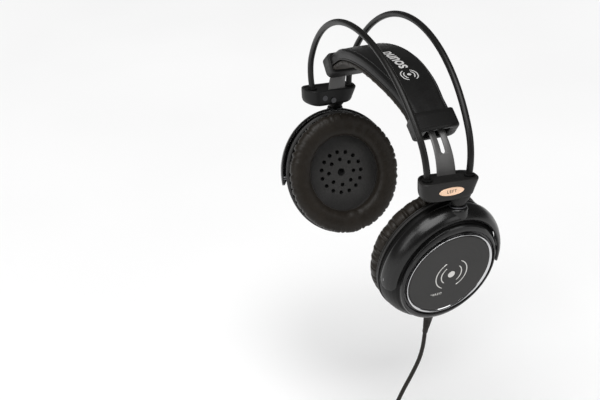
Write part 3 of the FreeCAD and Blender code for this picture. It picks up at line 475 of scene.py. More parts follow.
def oval_outside(r):
    """Round at the trim ring, fully narrowed at the bevel's outer edge."""
    t = min(1.0, max(0.0, (r - TRIM_R - 1.6) / (BEVEL_R - TRIM_R - 1.6)))
    return 1.0 - (1.0 - CUP_NARROW) * t


def joined(*parts):
    """Several (points, faces) in one."""
    points, faces = [], []
    for more_points, more_faces in parts:
        start = len(points)
        points += list(more_points)
        faces += [tuple(start + i for i in face) for face in more_faces]
    return points, faces


def clipped(mesh, spot, away, gap=0.05):
    """Keep the half of a mesh on the far side of a plane (all in millimetres), and close the cut."""
    work = bmesh.new()
    work.from_mesh(mesh)
    way = Vector(away).normalized()
    everything = work.verts[:] + work.edges[:] + work.faces[:]
    cut = bmesh.ops.bisect_plane(work, geom=everything, plane_co=(Vector(spot) + way * gap) * MM,
                                 plane_no=way, clear_inner=True)
    rim = [e for e in cut["geom_cut"] if isinstance(e, bmesh.types.BMEdge)]
    bmesh.ops.holes_fill(work, edges=rim, sides=0)
    bmesh.ops.recalc_face_normals(work, faces=work.faces)
    work.to_mesh(mesh)
    work.free()
    mesh.set_sharp_from_angle(angle=math.radians(40))


def softened(node, look, body, width=0.35, angle=38.0, segments=3):
    """A CAD node's own shape with its sharp edges rounded over."""
    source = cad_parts[node]
    mesh = source.data.copy()
    mesh.name = node + "_softened"
    work = bmesh.new()
    work.from_mesh(mesh)
    bmesh.ops.remove_doubles(work, verts=work.verts, dist=0.000004)
    bmesh.ops.dissolve_limit(work, angle_limit=math.radians(1.0), verts=work.verts, edges=work.edges)
    work.to_mesh(mesh)
    work.free()
    mesh.shade_smooth()
    mesh.materials.clear()
    mesh.materials.append(LOOK[look])
    made = bpy.data.objects.new(node + "_soft", mesh)
    bpy.context.scene.collection.objects.link(made)
    bevel = made.modifiers.new("edges", "BEVEL")
    bevel.width = width * MM
    bevel.segments = segments
    bevel.limit_method = "ANGLE"
    bevel.angle_limit = math.radians(angle)
    bevel.harden_normals = True
    bevel.use_clamp_overlap = True
    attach(made, body)
    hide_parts(node)
    return made


def repaint(node, look):
    """Keep a CAD node's shape and give it a finished material."""
    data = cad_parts[node].data
    for index in range(max(1, len(data.materials))):
        if data.materials:
            data.materials[index] = LOOK[look]
        else:
            data.materials.append(LOOK[look])


# ================= band curve =================

def band_point(angle, offset, y=0.0):
    """Point on the headband at an angle from vertical, offset from its outer face."""
    turn, knee = math.radians(abs(angle)), math.radians(BAND_T1)
    side = 1 if angle >= 0 else -1
    if abs(angle) <= BAND_T1:
        return Vector((side * (BAND_R1 + offset) * math.sin(turn), y,
                       BAND_TOP - BAND_R1 + (BAND_R1 + offset) * math.cos(turn)))
    x = (BAND_R1 - BAND_R2) * math.sin(knee) + (BAND_R2 + offset) * math.sin(turn)
    z = BAND_TOP - BAND_R1 + (BAND_R1 - BAND_R2) * math.cos(knee) + (BAND_R2 + offset) * math.cos(turn)
    return Vector((side * x, y, z))


def band_half(angle):
    """Half the band's width: an arc seen from above that is widest at the crown."""
    sag = BAND_CROWN_HALF - BAND_HALF
    radius = (BAND_PLAIN_X ** 2 + sag ** 2) / (2 * sag)
    x = min(BAND_PLAIN_X, abs(band_point(angle, 0).x))
    return BAND_CROWN_HALF - radius + math.sqrt(radius ** 2 - x ** 2)


def band_y(angle, y):
    """Spread a y drawn for the band's narrow end over its real width; the edge zones keep their shape."""
    side = 1 if y >= 0 else -1
    half = band_half(angle)
    zone = 5.4
    if abs(y) > BAND_HALF - zone:
        return BAND_Y + side * (half - BAND_HALF + abs(y))
    return BAND_Y + y / (BAND_HALF - zone) * (half - zone)


# ================= lead =================

CORD_ROUTE = [(70.0, -2.6, -182.0), (69.2, -5.2, -194.0), (67.7, -10.2, -206.0), (66.3, -16.0, -217.5),
              (65.2, -20.8, -228.0)]
RELIEF_TIP = (0.0, -66.0, -12.0)        # in the cup's frame
PITCH = 3.08                            # between neighbouring turns
COLUMNS, LAYERS, TURN_POINTS = 4, 6, 20
COIL_IN, COIL_OUT = 34.0, 250.0         # degrees round the coil where the lead joins and leaves it


def coil_points():
    """Pancakes of turns side by side, the first wound inwards, the next outwards, and so on."""
    spots = []
    outer = COIL_MEAN + PITCH * (LAYERS - 1) / 2
    for column in range(COLUMNS):
        layers = range(LAYERS) if column % 2 == 0 else reversed(range(LAYERS))
        spots += [(column, layer) for layer in layers]
    points = []
    total = len(spots) * TURN_POINTS - round(TURN_POINTS * ((COIL_OUT - COIL_IN) % 360) / 360)
    for step in range(total + 1):
        index, part = divmod(step, TURN_POINTS)
        blend = max(0.0, (part / TURN_POINTS - 0.6) / 0.4)
        column, layer = spots[index]
        next_column, next_layer = spots[min(index + 1, len(spots) - 1)]
        radius = outer - PITCH * (layer + (next_layer - layer) * blend)
        x = PITCH * (column + (next_column - column) * blend - (COLUMNS - 1) / 2)
        angle = math.radians(COIL_IN - 360.0 * step / TURN_POINTS)
        points.append(COIL_CENTRE + Vector((x, radius * math.cos(angle), radius * math.sin(angle))))
    return points


def make_cord():
    tip = CUP @ Vector(RELIEF_TIP)
    tail = [COIL_CENTRE + Vector((TAIL_X, y, z)) for y, z in
            ((-26.0, -31.0), (PLUG_SIDE, -20.0), (PLUG_SIDE, PLUG_FOOT))]
    route = [tip] + [Vector(p) for p in CORD_ROUTE] + coil_points() + tail
    curve = bpy.data.curves.new("lead", "CURVE")
    curve.dimensions = "3D"
    spline = curve.splines.new("NURBS")
    spline.points.add(len(route) - 1)
    for point, at in zip(spline.points, route):
        point.co = (at.x * MM, at.y * MM, at.z * MM, 1)
    spline.order_u = 3
    spline.use_endpoint_u = True
    spline.resolution_u = 5
    curve.bevel_depth = CORD_D / 2 * MM
    curve.bevel_resolution = 5
    curve.materials.append(LOOK["cord"])
    lead = bpy.data.objects.new("lead", curve)
    bpy.context.scene.collection.objects.link(lead)
    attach(lead, "cup_left")
    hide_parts("cord_tube", "cord_coil")
    extras = [make_relief(), make_tie()] + make_plug()


def make_relief():
    """Tapered sleeve with shallow flex grooves, from the cup's lower wall."""
    outline = [(0.0, 3.0), (2.6, 3.0), (3.5, 1.5), (3.6, -1.2), (3.3, -2.0)]
    grooves = 7
    for i in range(grooves):
        z = -3.2 - i * 1.55
        r = 3.25 - 0.155 * i
        outline += [(r, z), (r - 0.05, z - 0.75), (r - 0.42, z - 0.95), (r - 0.45, z - 1.3)]
    outline += [(2.05, -14.6), (1.95, -17.6), (1.75, -18.3), (0.0, -18.3)]
    base = RIM_R + 0.4
    turn = Matrix.Rotation(math.radians(90), 4, "X")
    spot = CUP @ Matrix.Translation((0, -base, -12.0)) @ turn
    flipped = [(r, -z) for r, z in outline]
    points, faces = lathe(rounded(flipped, 0.25, 2, closed=False), spot, 48)
    return piece("strain_relief_sleeve", points, faces, "cord", "cup_left",
                 replaces=["strain_relief"])


def make_plug():
    foot = COIL_CENTRE + Vector((TAIL_X, PLUG_SIDE, PLUG_FOOT))
    spot = Matrix.Translation(foot)
    grip = [(0.0, 0.0), (2.1, 0.0), (2.2, 2.0), (2.5, 8.0), (3.5, 9.0)]
    for i in range(6):
        z = 11.0 + i * 1.9
        grip += [(3.6, z), (3.6, z + 0.9), (3.3, z + 1.1), (3.3, z + 1.7)]
    grip += [(3.6, 22.8), (3.6, 24.0), (2.8, 25.5), (0.0, 25.5)]
    contact = [(0.0, 25.4), (2.4, 25.4), (2.4, 26.5), (1.75, 26.7), (1.75, 30.4), (1.66, 30.5),
               (1.66, 30.9),
               (1.75, 31.0), (1.75, 34.0), (1.66, 34.1), (1.66, 34.5), (1.75, 34.6), (1.75, 37.0),
               (1.3, 37.4),
               (1.3, 37.9), (1.7, 38.6), (1.1, 40.4), (0.0, 40.6)]
    made = []
    for name, outline, look, slot in (("grip", grip, "grip", "plug_plastic"),
                                      ("contact", contact, "gold_contact", "plug_gold")):
        points, faces = lathe(rounded(outline, 0.2, 2, closed=False), spot, 40)
        made.append(piece("jack_" + name, points, faces, look, "cup_left", replaces=["plug_" + name]))
    return made


def make_tie():
    """A flat hook-and-loop strap round the lower part of the coil."""
    reach, width = 9.4 + 0.7, 6.4 + 0.5
    section = rounded([(-width, -reach), (width, -reach), (width, reach), (-width, reach)], 3.0, 6)
    rings = []
    middle = COIL_CENTRE + Vector((0, 0, -COIL_MEAN))
    for y, grow in ((-2.5, -0.25), (-2.3, 0.0), (2.3, 0.0), (2.5, -0.25), (2.4, -0.5), (-2.4, -0.5)):
        rings.append([middle + Vector((p.x * (1 + grow / width), y,
                                       p.y * (1 + grow / reach))) for p in section])
    points, faces = loft(rings, closed=True)
    return piece("coil_tie_strap", points, faces, "braid", "cup_left", replaces=["coil_tie"])


# ================= ear cups =================

def make_disc(side):
    outline = [(0.0, -0.35), (16.0, -0.25), (30.6, 0.0), (31.6, -0.05), (32.0, -0.6), (32.0, -2.3),
               (0.0, -2.3)]
    points, faces = lathe(rounded(outline, 0.3, 3, closed=False), CUP, 160)
    piece("face_plate_" + side, points, faces, "disc_" + side, "cup_" + side,
          mirror=side == "right", replaces=["disc_plate_" + side])


def make_trim(side):
    outline = [(32.05, -2.3), (32.05, -0.25), (32.5, 0.25), (33.2, 0.8), (33.45, 0.6), (33.6, -0.2),
               (33.6, -2.3)]
    points, faces = lathe(rounded(outline, 0.18, 4), CUP, 192)
    piece("bright_ring_" + side, points, faces, "chrome", "cup_" + side,
          mirror=side == "right", replaces=["trim_ring_" + side])


def make_bevel(side):
    outline = [(33.65, -2.35), (33.65, -1.6), (35.2, -1.6), (35.7, -0.3), (36.6, 0.3), (38.0, 0.1),
               (39.6, -0.7),
               (40.5, -1.6), (40.5, -2.35)]
    points, faces = lathe(rounded(outline, 0.5, 4), CUP, 192, narrow=oval_outside)
    piece("bevel_" + side, points, faces, "bevel", "cup_" + side,
          mirror=side == "right", replaces=["bevel_ring_" + side])


def make_housing(side):
    outer = [(28.0, -2.4), (40.4, -2.4), (40.5, -3.4), (42.2, -5.2), (43.9, -7.8), (45.3, -10.6),
             (46.3, -13.4),
             (46.9, -16.0), (47.15, -18.3), (47.2, -19.2), (46.8, -19.35), (46.8, -20.45)]
    inner = [(44.8, -20.45), (44.8, -16.0), (42.6, -12.0), (39.0, -5.0), (28.0, -4.4)]
    outline = rounded(outer + inner, 0.6, 4)
    points, faces = lathe(outline, CUP, 192, narrow=oval)
    piece("cup_shell_" + side, points, faces, "housing", "cup_" + side, sharp=40,
          mirror=side == "right", replaces=["cup_housing_" + side])


def mark_arc(radius, middle, spread, width, height, z):
    """A raised arc of a printed mark, in the cup's own plane."""
    rings = []
    steps = 28
    for s in range(steps + 1):
        angle = math.radians(middle - spread + 2 * spread * s / steps)
        end = 1.0 - 0.35 * abs(2 * s / steps - 1) ** 6
        half = width / 2 * end
        rings.append([Vector((r * math.cos(angle), r * math.sin(angle), h)) for r, h in
                      ((radius - half, z), (radius - half * 0.7, z + height),
                       (radius + half * 0.7, z + height),
                       (radius + half, z))])
    return loft(rings)


def word_points(text, size, spacing, bold):
    """Points and faces of a plain word, in its own plane and centred on its own middle."""
    words = bpy.data.curves.new("word", "FONT")
    words.body = text
    words.size = size
    words.space_character = spacing
    words.offset = bold
    words.extrude = 0.08
    words.align_x, words.align_y = "CENTER", "CENTER"
    drawn = bpy.data.objects.new("word", words)
    bpy.context.scene.collection.objects.link(drawn)
    bpy.context.view_layer.update()
    flat = bpy.data.meshes.new_from_object(drawn.evaluated_get(bpy.context.evaluated_depsgraph_get()))
    bpy.data.objects.remove(drawn)
    return [tuple(v.co) for v in flat.vertices], [tuple(p.vertices) for p in flat.polygons]


def make_mark(side):
    """A generic sound mark: a dot between two pairs of waves."""
    parts = []
    z, height = -0.38, 0.22
    for radius, spread in ((12.2, 62.0), (8.0, 52.0)):
        for middle in (0.0, 180.0):
            parts.append(mark_arc(radius, middle, spread, 0.95, height, z))
    dot = [(0.0, height + z), (2.2, height + z), (2.7, z + height * 0.5), (2.8, z), (0.0, z)]
    parts.append(lathe(dot, Matrix.Identity(4), 48))
    points, faces = joined(*parts)
    place = CUP @ Matrix.Translation((2.0, -1.5, 0))
    piece("face_mark_" + side, [place @ p for p in points], faces, "silver", "cup_" + side,
          mirror=side == "right")
    k = SIDES[side]
    drawn, faces = word_points("STEREO", 2.6, 1.3, 0.05)
    place = CUP @ Matrix.Translation((-8.5, -16.9, z + 0.12))
    piece("face_word_" + side, [place @ Vector((k * x, y, rise)) for x, y, rise in drawn], faces,
          "silver", "cup_" + side, mirror=side == "right")


PAD_SEGMENTS, PAD_ROWS = 360, 56


def pad_section(t):
    """Unit pad section, t from 0 at the outer seam round the soft face to 1 at the inner seam."""
    centre_r = (PAD_OUT + PAD_IN) / 2
    half_r = (PAD_OUT - PAD_IN) / 2
    centre_z = -(PAD_FRONT + PAD_BACK) / 2
    half_z = (PAD_BACK - PAD_FRONT) / 2
    angle = math.radians(-52 + 284 * t)
    power = 2 / 2.35
    c, s = math.cos(angle), math.sin(angle)
    return (centre_r + half_r * math.copysign(abs(c) ** power, c),
            centre_z - half_z * math.copysign(abs(s) ** power, s))


def make_pad(side):
    """Soft ring: gathered into a seam at the rim, puckered, creased where it meets the head."""
    seed = 3.7 if side == "left" else 11.3
    rings = []
    for s in range(PAD_SEGMENTS):
        angle = 2 * math.pi * s / PAD_SEGMENTS
        ring = []
        for row in range(PAD_ROWS):
            t = row / (PAD_ROWS - 1)
            r, z = pad_section(t)
            tug = max(0.0, 1 - t / 0.44) ** 0.9
            inner_tug = max(0.0, (t - 0.78) / 0.22)
            around = Vector((math.cos(angle) * 9.0, math.sin(angle) * 9.0, seed))
            drift = noise.noise(around * 0.7)
            gathers = math.sin(angle * 50 + 6.0 * noise.noise(around) + 2.5 * t)
            fold = max(0.0, gathers) ** 1.3 * (0.75 + 0.5 * noise.noise(around * 1.9 + Vector((0, 0, 5))))
            spot = Vector((math.cos(angle) * 22, math.sin(angle) * 22, t * 11 + seed))
            crease = noise.ridged_multi_fractal(spot * 0.16, 0.9, 2.1, 4, 0.9, 1.8) - 0.9
            swell = (0.35 * drift - 2.3 * fold * tug - 0.55 * fold * inner_tug
                     - 0.28 * crease * math.sin(math.pi * t))
            centre_r, centre_z = (PAD_OUT + PAD_IN) / 2, -(PAD_FRONT + PAD_BACK) / 2
            away = Vector((r - centre_r, z - centre_z))
            away = away * (1 + (swell - 0.35) / max(away.length, 1.0))
            r2, z2 = centre_r + away.x, centre_z + away.y
            ring.append(CUP @ Vector((r2 * math.cos(angle) * CUP_NARROW, r2 * math.sin(angle), z2)))
        rings.append(ring)
    points, faces = loft(rings, closed=True)
    made = piece("ear_cushion_" + side, points, faces, "pad_skin", "cup_" + side,
                 sharp=70,
                 mirror=side == "right", replaces=["ear_pad_" + side])
    for name, radius, z, size in (("rim", PAD_OUT - 1.2, -PAD_FRONT - 0.55, 0.75),
                                  ("bore", PAD_IN + 1.6, -PAD_FRONT - 0.9, 0.6)):
        section = [(radius + size * math.cos(a), z + size * math.sin(a))
                   for a in (math.radians(v) for v in range(0, 360, 36))]
        points, faces = lathe(section, CUP, 240, narrow=oval)
        piece("pad_piping_%s_%s" % (name, side), points, faces, "piping", "cup_" + side,
              mirror=side == "right")


# ================= yokes =================

YOKE_INSIDE = [(42.8, -3.8), (45.6, -6.2), (47.5, -9.2), (48.4, -12.4), (48.4, -15.2)]
YOKE_OUTSIDE = [(43.2, -2.3), (44.8, -2.2), (47.4, -4.5), (49.3, -8.2), (50.0, -11.6), (49.8, -15.3)]


def along(line, t):
    """Point a fraction of the way along a polyline."""
    points = [Vector(p) for p in line]
    lengths = [(b - a).length for a, b in zip(points, points[1:])]
    want = t * sum(lengths)
    for a, b, length in zip(points, points[1:], lengths):
        if want <= length:
            return a.lerp(b, want / length)
        want -= length
    return points[-1]


def yoke_section(low, high):
    """Closed section between two fractions of the band's width, with round edges."""
    steps = 14
    outside, inside = [], []
    smooth_out = rounded(YOKE_OUTSIDE, 3.0, 4, closed=False)
    smooth_in = rounded(YOKE_INSIDE, 3.0, 4, closed=False)
    for s in range(steps + 1):
        t = s / steps
        u = low + (high - low) * t
        thick = min(1.0, math.sqrt(max(0.0, 1 - (2 * t - 1) ** 10)) + 0.12)
        out, inn = along(smooth_out, u), along(smooth_in, u)
        middle = (out + inn) / 2
        outside.append(middle + (out - middle) * thick)
        inside.append(middle + (inn - middle) * thick)
    return outside + inside[::-1]


def make_yoke(side):
    """C-shaped arm over the cup, its ends rounded about the pivots, with a hub under the block."""
    lobe = 7.4                      # degrees past the pivot
    middle = 0.5                    # of the section's width
    rings = []
    angles = [-lobe + lobe * math.sin(math.radians(90 * i / 9)) for i in range(9)]
    angles += [i * 2.0 for i in range(0, 91)]
    angles += [180 - a for a in angles[:9]][::-1]
    for angle in angles:
        past = max(0.0, -angle, angle - 180) / lobe
        width = 0.5 * math.sqrt(max(0.0004, 1 - past ** 2))
        turn = math.radians(angle)
        ring = [Vector((p.x * math.cos(turn) * CUP_NARROW, p.x * math.sin(turn), p.y))
                for p in yoke_section(middle - width, middle + width)]
        rings.append([CUP @ p for p in ring])
    points, faces = loft(rings)
    piece("yoke_arm_" + side, points, faces, "yoke", "yoke_" + side, sharp=50,
          mirror=side == "right", replaces=["yoke_" + side])
    top = STEM.z - 1.3
    hub = [(0.0, top), (5.4, top), (6.2, top - 0.2), (6.7, top - 0.7), (6.9, top - 1.5), (7.0, top - 2.6),
           (7.0, top - 7.0), (0.0, top - 7.0)]
    points, faces = lathe(hub, Matrix.Translation((STEM.x, STEM.y, 0)), 72)
    seat = piece("yoke_seat_" + side, points, faces, "yoke", "yoke_" + side, sharp=40,
                 mirror=side == "right")
    inside = [(0.0, 5.0), (42.8, 5.0)] + YOKE_INSIDE + [(48.4, -30.0), (0.0, -30.0)]
    points, faces = lathe(inside, CUP, 128, narrow=oval)
    cutter = piece("seat_cutter", points, faces, "yoke", None, mirror=side == "right")
    carve(seat, cutter)


def carve(target, cutter):
    """Cut one object out of another, and drop the cutter."""
    cut = target.modifiers.new("cut", "BOOLEAN")
    cut.operation = "DIFFERENCE"
    cut.object = cutter
    bpy.context.view_layer.update()
    mesh = bpy.data.meshes.new_from_object(target.evaluated_get(bpy.context.evaluated_depsgraph_get()))
    target.modifiers.remove(cut)
    target.data = mesh
    mesh.set_sharp_from_angle(angle=math.radians(40))
    bpy.data.objects.remove(cutter)


# ================= side blocks =================

# outline seen from above, each way from its middle as a share of its half size
BLOCK_PLAN = [
    (1.0, 0.14), (0.99, 0.4), (1.0, 0.68), (0.82, 0.92), (0.4, 1.0), (-0.15, 1.0), (-0.62, 0.93),
    (-0.92, 0.74),
    (-1.0, 0.5), (-0.94, 0.3), (-0.9, 0.0), (-0.93, -0.3), (-1.0, -0.52), (-0.95, -0.72), (-0.62, -0.88),
    (-0.1, -0.98), (0.4, -1.02), (0.82, -0.98), (1.0, -0.82), (0.99, -0.55), (0.97, -0.2)]
# height, front y, rear y, inner x, outer x, share of the plan (0 is an oval)
BLOCK_LEVELS = [
    (-1.5, -20.2, 18.2, 91.9, 107.6, 1.0), (-0.6, -20.3, 18.3, 91.8, 107.7, 1.0),
    (-0.15, -20.6, 18.6, 91.4, 108.0, 1.0), (0.0, -21.1, 19.1, 90.9, 108.5, 1.0),
    (-0.3, -21.8, 19.9, 90.2, 109.1, 1.0), (-1.2, -22.1, 20.2, 90.0, 109.4, 1.0),
    (-4.0, -22.1, 19.2, 90.0, 109.4, 1.0), (-7.6, -22.0, 17.7, 90.0, 109.4, 1.0),
    (-10.2, -21.5, 16.7, 90.1, 109.4, 1.0), (-11.8, -20.3, 16.0, 90.5, 109.3, 1.0),
    (-12.7, -18.2, 15.4, 91.2, 109.1, 0.9), (-13.1, -14.5, 15.0, 92.3, 109.1, 0.8),
    (-13.3, -9.0, 14.7, 94.5, 109.1, 0.6), (-13.6, -2.6, 14.4, 97.5, 109.1, 0.3),
    (-14.2, 0.0, 14.0, 98.8, 109.1, 0.1), (-15.4, 0.3, 13.3, 99.0, 109.0, 0.0),
    (-17.2, 0.4, 11.8, 99.1, 108.9, 0.0), (-18.8, 0.6, 10.0, 99.2, 108.8, 0.0),
    (-19.5, 0.9, 9.2, 99.5, 108.4, 0.0), (-19.7, 1.5, 8.5, 100.2, 107.8, 0.0)]


def plan_reach(count):
    """How far the block's plan reaches in each direction from its middle."""
    outline = [Vector(p) for p in BLOCK_PLAN]
    for _ in range(3):
        following = outline[1:] + outline[:1]
        outline = [p for a, b in zip(outline, following) for p in (a.lerp(b, 0.25), a.lerp(b, 0.75))]
    reach = []
    for s in range(count):
        turn = 2 * math.pi * s / count
        way = Vector((math.cos(turn), math.sin(turn)))
        best = 1.0
        for a, b in zip(outline, outline[1:] + outline[:1]):
            side_a, side_b = way.cross(a), way.cross(b)
            if side_a <= 0 < side_b or side_b <= 0 < side_a:
                hit = a.lerp(b, side_a / (side_a - side_b))
                if hit.dot(way) > 0:
                    best = hit.length
        reach.append(best)
    return reach


def smooth_levels(levels, steps):
    """Ease between the given levels with a Catmull-Rom curve."""
    result = []
    for i in range(len(levels) - 1):
        p0, p1 = levels[max(0, i - 1)], levels[i]
        p2, p3 = levels[i + 1], levels[min(len(levels) - 1, i + 2)]
        for s in range(steps):
            t = s / steps
            result.append([0.5 * (2 * b + (c - a) * t + (2 * a - 5 * b + 4 * c - d) * t * t
                                  + (3 * b - a - 3 * c + d) * t ** 3)
                                  for a, b, c, d in zip(p0, p1, p2, p3)])
    result.append(list(levels[-1]))
    return result


def make_block(side):
    """Side block with a rim, tapering at the rear into the swivel's neck; split into two shells."""
    rings = []
    reach = plan_reach(120)
    for height, front, rear, inner, outer, share in smooth_levels(BLOCK_LEVELS, 3):
        cx, cy = (inner + outer) / 2, (front + rear) / 2
        a, b = (outer - inner) / 2, (rear - front) / 2
        ring = []
        for s, far in enumerate(reach):
            turn = 2 * math.pi * s / len(reach)
            size = 1 + (far - 1) * share
            x = cx + a * size * math.cos(turn)
            y = cy + b * size * math.sin(turn)
            fall = math.tan(math.radians(BLOCK_SLOPE)) * (y + ROOT.y) * min(1.0,
                                                                            max(0.0, (height + 13) / 13))
            ring.append(Vector((x, y, ROOT.z + height - fall)))
        rings.append(ring)
    points, faces = loft(rings)
    for shell, keep, look, slot in (("outer", 1, "block", "block_plastic"),
                                    ("inner", -1, "block_inner", "block_inner_plastic")):
        made = piece("block_shell_%s_%s" % (shell, side), points, faces, look, "frame", sharp=40,
                     mirror=side == "right", replaces=["block_%s_%s" % (shell, side)])
        k = SIDES[side]
        clipped(made.data, (k * 100.0, 0, 0), (k * keep, 0, 0))


def make_badge(side):
    """Oval side badge with a raised rim and a generic side marking."""
    length, height = 9.0, 2.75
    middle = Vector((0, BADGE_Y, ROOT.z + BADGE_Z))
    levels = [(1.0, -0.5), (1.0, 0.10), (0.97, 0.24), (0.93, 0.28), (0.90, 0.22), (0.88, 0.12), (0.5, 0.12),
              (0.02, 0.12)]
    rings = []
    for shrink, rise in levels:
        ring = []
        for s in range(72):
            angle = 2 * math.pi * s / 72
            y = length * shrink * math.cos(angle)
            z = height * shrink * math.sin(angle)
            face = 109.5 - 0.0010 * (middle.y + y) ** 2
            ring.append(Vector((face + rise, middle.y + y, middle.z + z)))
        rings.append(ring)
    points, faces = loft(rings)
    piece("side_badge_" + side, points, faces, "gold_badge", "frame",
          mirror=side == "right", replaces=["badge_" + side])

    words = bpy.data.curves.new("side_word_" + side, "FONT")
    words.body = side.upper()
    words.size = 2.9 * MM
    words.space_character = 1.25
    words.extrude = 0.06 * MM
    words.align_x, words.align_y = "CENTER", "CENTER"
    words.materials.append(LOOK["ink"])
    made = bpy.data.objects.new("side_word_" + side, words)
    bpy.context.scene.collection.objects.link(made)
    k = SIDES[side]
    made.matrix_world = Matrix.Translation(Vector((k * 109.66, middle.y, middle.z)) * MM) @ Matrix(
        ((0, 0, k, 0), (k, 0, 0, 0), (0, 1, 0, 0), (0, 0, 0, 1)))
    bpy.context.view_layer.update()
    flat = bpy.data.meshes.new_from_object(made.evaluated_get(bpy.context.evaluated_depsgraph_get()))
    flat.transform(made.matrix_world)
    letters = bpy.data.objects.new("side_letters_" + side, flat)
    bpy.context.scene.collection.objects.link(letters)
    bpy.data.objects.remove(made)
    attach(letters, "frame")


# ================= straps =================

def strap_point(length, y, rise):
    """Point on the strap: length starts where the strap leaves the band's curve."""
    free_length = STRAP_R * math.radians(STRAP_ROOT - STRAP_START)
    if length <= 0:
        angle = STRAP_START + math.degrees(length / (BAND_R2 + STRAP_OFFSET))
        return band_point(angle, STRAP_OFFSET + rise, BAND_Y + y)
    mouth = band_point(STRAP_START, STRAP_OFFSET)
    start = math.radians(STRAP_START)
    centre = mouth - Vector((math.sin(start), 0, math.cos(start))) * STRAP_R
    turn = min(length, free_length) / STRAP_R + start
    normal = Vector((math.sin(turn), 0, math.cos(turn)))
    spot = centre + normal * (STRAP_R + rise) + Vector((0, BAND_Y + y, 0))
    if length > free_length:
        spot += Vector((math.cos(turn), 0, -math.sin(turn))) * (length - free_length)
    return spot


SLOT_LOW, SLOT_HIGH, SLOT_HALF = 9.0, -28.0, 1.6
STRAP_FIRST, STRAP_LAST = -32.0, 27.0


def make_strap(side):
    """Slotted flat strap with rounded edges and shallow rails; it bends between band and frame."""
    count = 140
    stations = [STRAP_FIRST + (STRAP_LAST - STRAP_FIRST) * i / count for i in range(count + 1)]
    rows = []
    for u in stations:
        slot = 0.0
        for end, way in ((SLOT_LOW - SLOT_HALF, 1), (SLOT_HIGH + SLOT_HALF, -1)):
            beyond = (u - end) * way
            if 0 < beyond < SLOT_HALF:
                slot = math.sqrt(SLOT_HALF ** 2 - beyond ** 2)
        if SLOT_HIGH + SLOT_HALF <= u <= SLOT_LOW - SLOT_HALF:
            slot = SLOT_HALF
        rows.append((u, slot))
    points, faces = [], []
    half, edge = STRAP_THICK / 2, 0.45
    for k in (-1, 1):
        base = len(points)
        for u, slot in rows:
            wide = STRAP_TOP_HALF + (STRAP_HALF - STRAP_TOP_HALF) * min(1.0, max(0.0, u / 22.0))
            soft = 0.15 if slot else 0.0
            for y, rise in ((slot, soft - half), (slot, half - soft), (slot + 0.2, half),
                            (wide - 1.7, half), (wide - 1.4, half + 0.08),
                            (wide - edge, half + 0.08), (wide, half - 0.25), (wide, 0.25 - half),
                            (wide - edge, -half), (slot + 0.2, -half)):
                points.append(strap_point(u, k * y, rise))
        for i in range(len(rows) - 1):
            whole = rows[i][1] == 0 and rows[i + 1][1] == 0
            for j in range(1 if whole else 0, 10):
                a, b = base + i * 10 + j, base + i * 10 + (j + 1) % 10
                faces.append((a, b, b + 10, a + 10))
        last = base + (len(rows) - 1) * 10
        faces.append(tuple(range(base, base + 10)))
        faces.append(tuple(range(last, last + 10)))
    made = piece("slotted_strap_" + side, points, faces, "strap", None, sharp=40,
                 mirror=side == "right", replaces=["strap_" + side])
    k = SIDES[side]
    mouth, root = strap_point(-5.0, 0, 0), strap_point(23.0, 0, 0)
    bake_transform(made)


# ================= headband =================

def band_surface(angle, v, seed):
    """Cover section: v runs from the front skirt over the top to the rear skirt, 0 to 1."""
    half = BAND_HALF - 0.1
    outline = BAND_SECTION
    spot = along(outline, v)
    y, offset = spot.x, spot.y
    place = Vector((angle * 0.16, v * 9.0, seed))
    wave = noise.noise(place * 0.8) * 0.22 + noise.noise(place * Vector((3.2, 0.9, 1.0))) * 0.08
    pinch = max(0.0, (abs(angle) - 27) / 7.6) ** 2
    wave += 0.25 * pinch * noise.noise(Vector((angle * 1.4, v * 5.0, seed + 4)))
    return band_point(angle, offset + wave * 0.6 - 0.28,
                      band_y(angle, y * (half + wave * 0.4 - 0.2) / half))


def band_section():
    """Front skirt, edge seam, crowned top, edge seam, rear skirt."""
    half = BAND_HALF - 0.1
    right = [(half - 0.25, -7.5), (half - 0.05, -5.4), (half, -3.2), (half - 0.5, -1.3),
             (half - 1.5, -0.45),
             (half - 2.2, -0.35), (half - 2.5, -0.72), (half - 2.8, -0.3), (half - 4.2, -0.05)]
    left = [(-y, z) for y, z in right]
    return left + [(0.0, 0.18)] + right[::-1]


BAND_SECTION = rounded(band_section(), 0.8, 3, closed=False)


def make_cover():
    rows = 150
    columns = 96
    rings = []
    for i in range(rows + 1):
        angle = -BAND_END + 2 * BAND_END * i / rows
        outer = [band_surface(angle, c / (columns - 1), 2.0) for c in range(columns)]
        inner = [band_point(angle, offset, band_y(angle, y)) for y, offset in
                 ((1.6 - BAND_HALF, -7.45), (1.8 - BAND_HALF, -2.6), (0.0, -2.2), (BAND_HALF - 1.8, -2.6),
                  (BAND_HALF - 1.6, -7.45))]
        rings.append(outer + inner[::-1])
    points, faces = loft(rings)
    piece("headband_skin", points, faces, "band_skin", "headband", sharp=50,
          replaces=["headband_cover"])
    stitch, count = 0.9, 73
    for edge, k in (("front", -1), ("rear", 1)):
        parts = []
        for i in range(count):
            start = -33.0 + i * stitch
            path = []
            for f in (0.08, 0.3, 0.5, 0.7, 0.92):
                angle = start + stitch * f
                path.append(band_point(angle, -0.32 - 0.36 * abs(f - 0.5),
                                       band_y(angle, k * (BAND_HALF - 2.62))))
            parts.append(tube(path, 0.2, 8))
        points, faces = joined(*parts)
        piece("band_stitches_" + edge, points, faces, "thread", "headband")


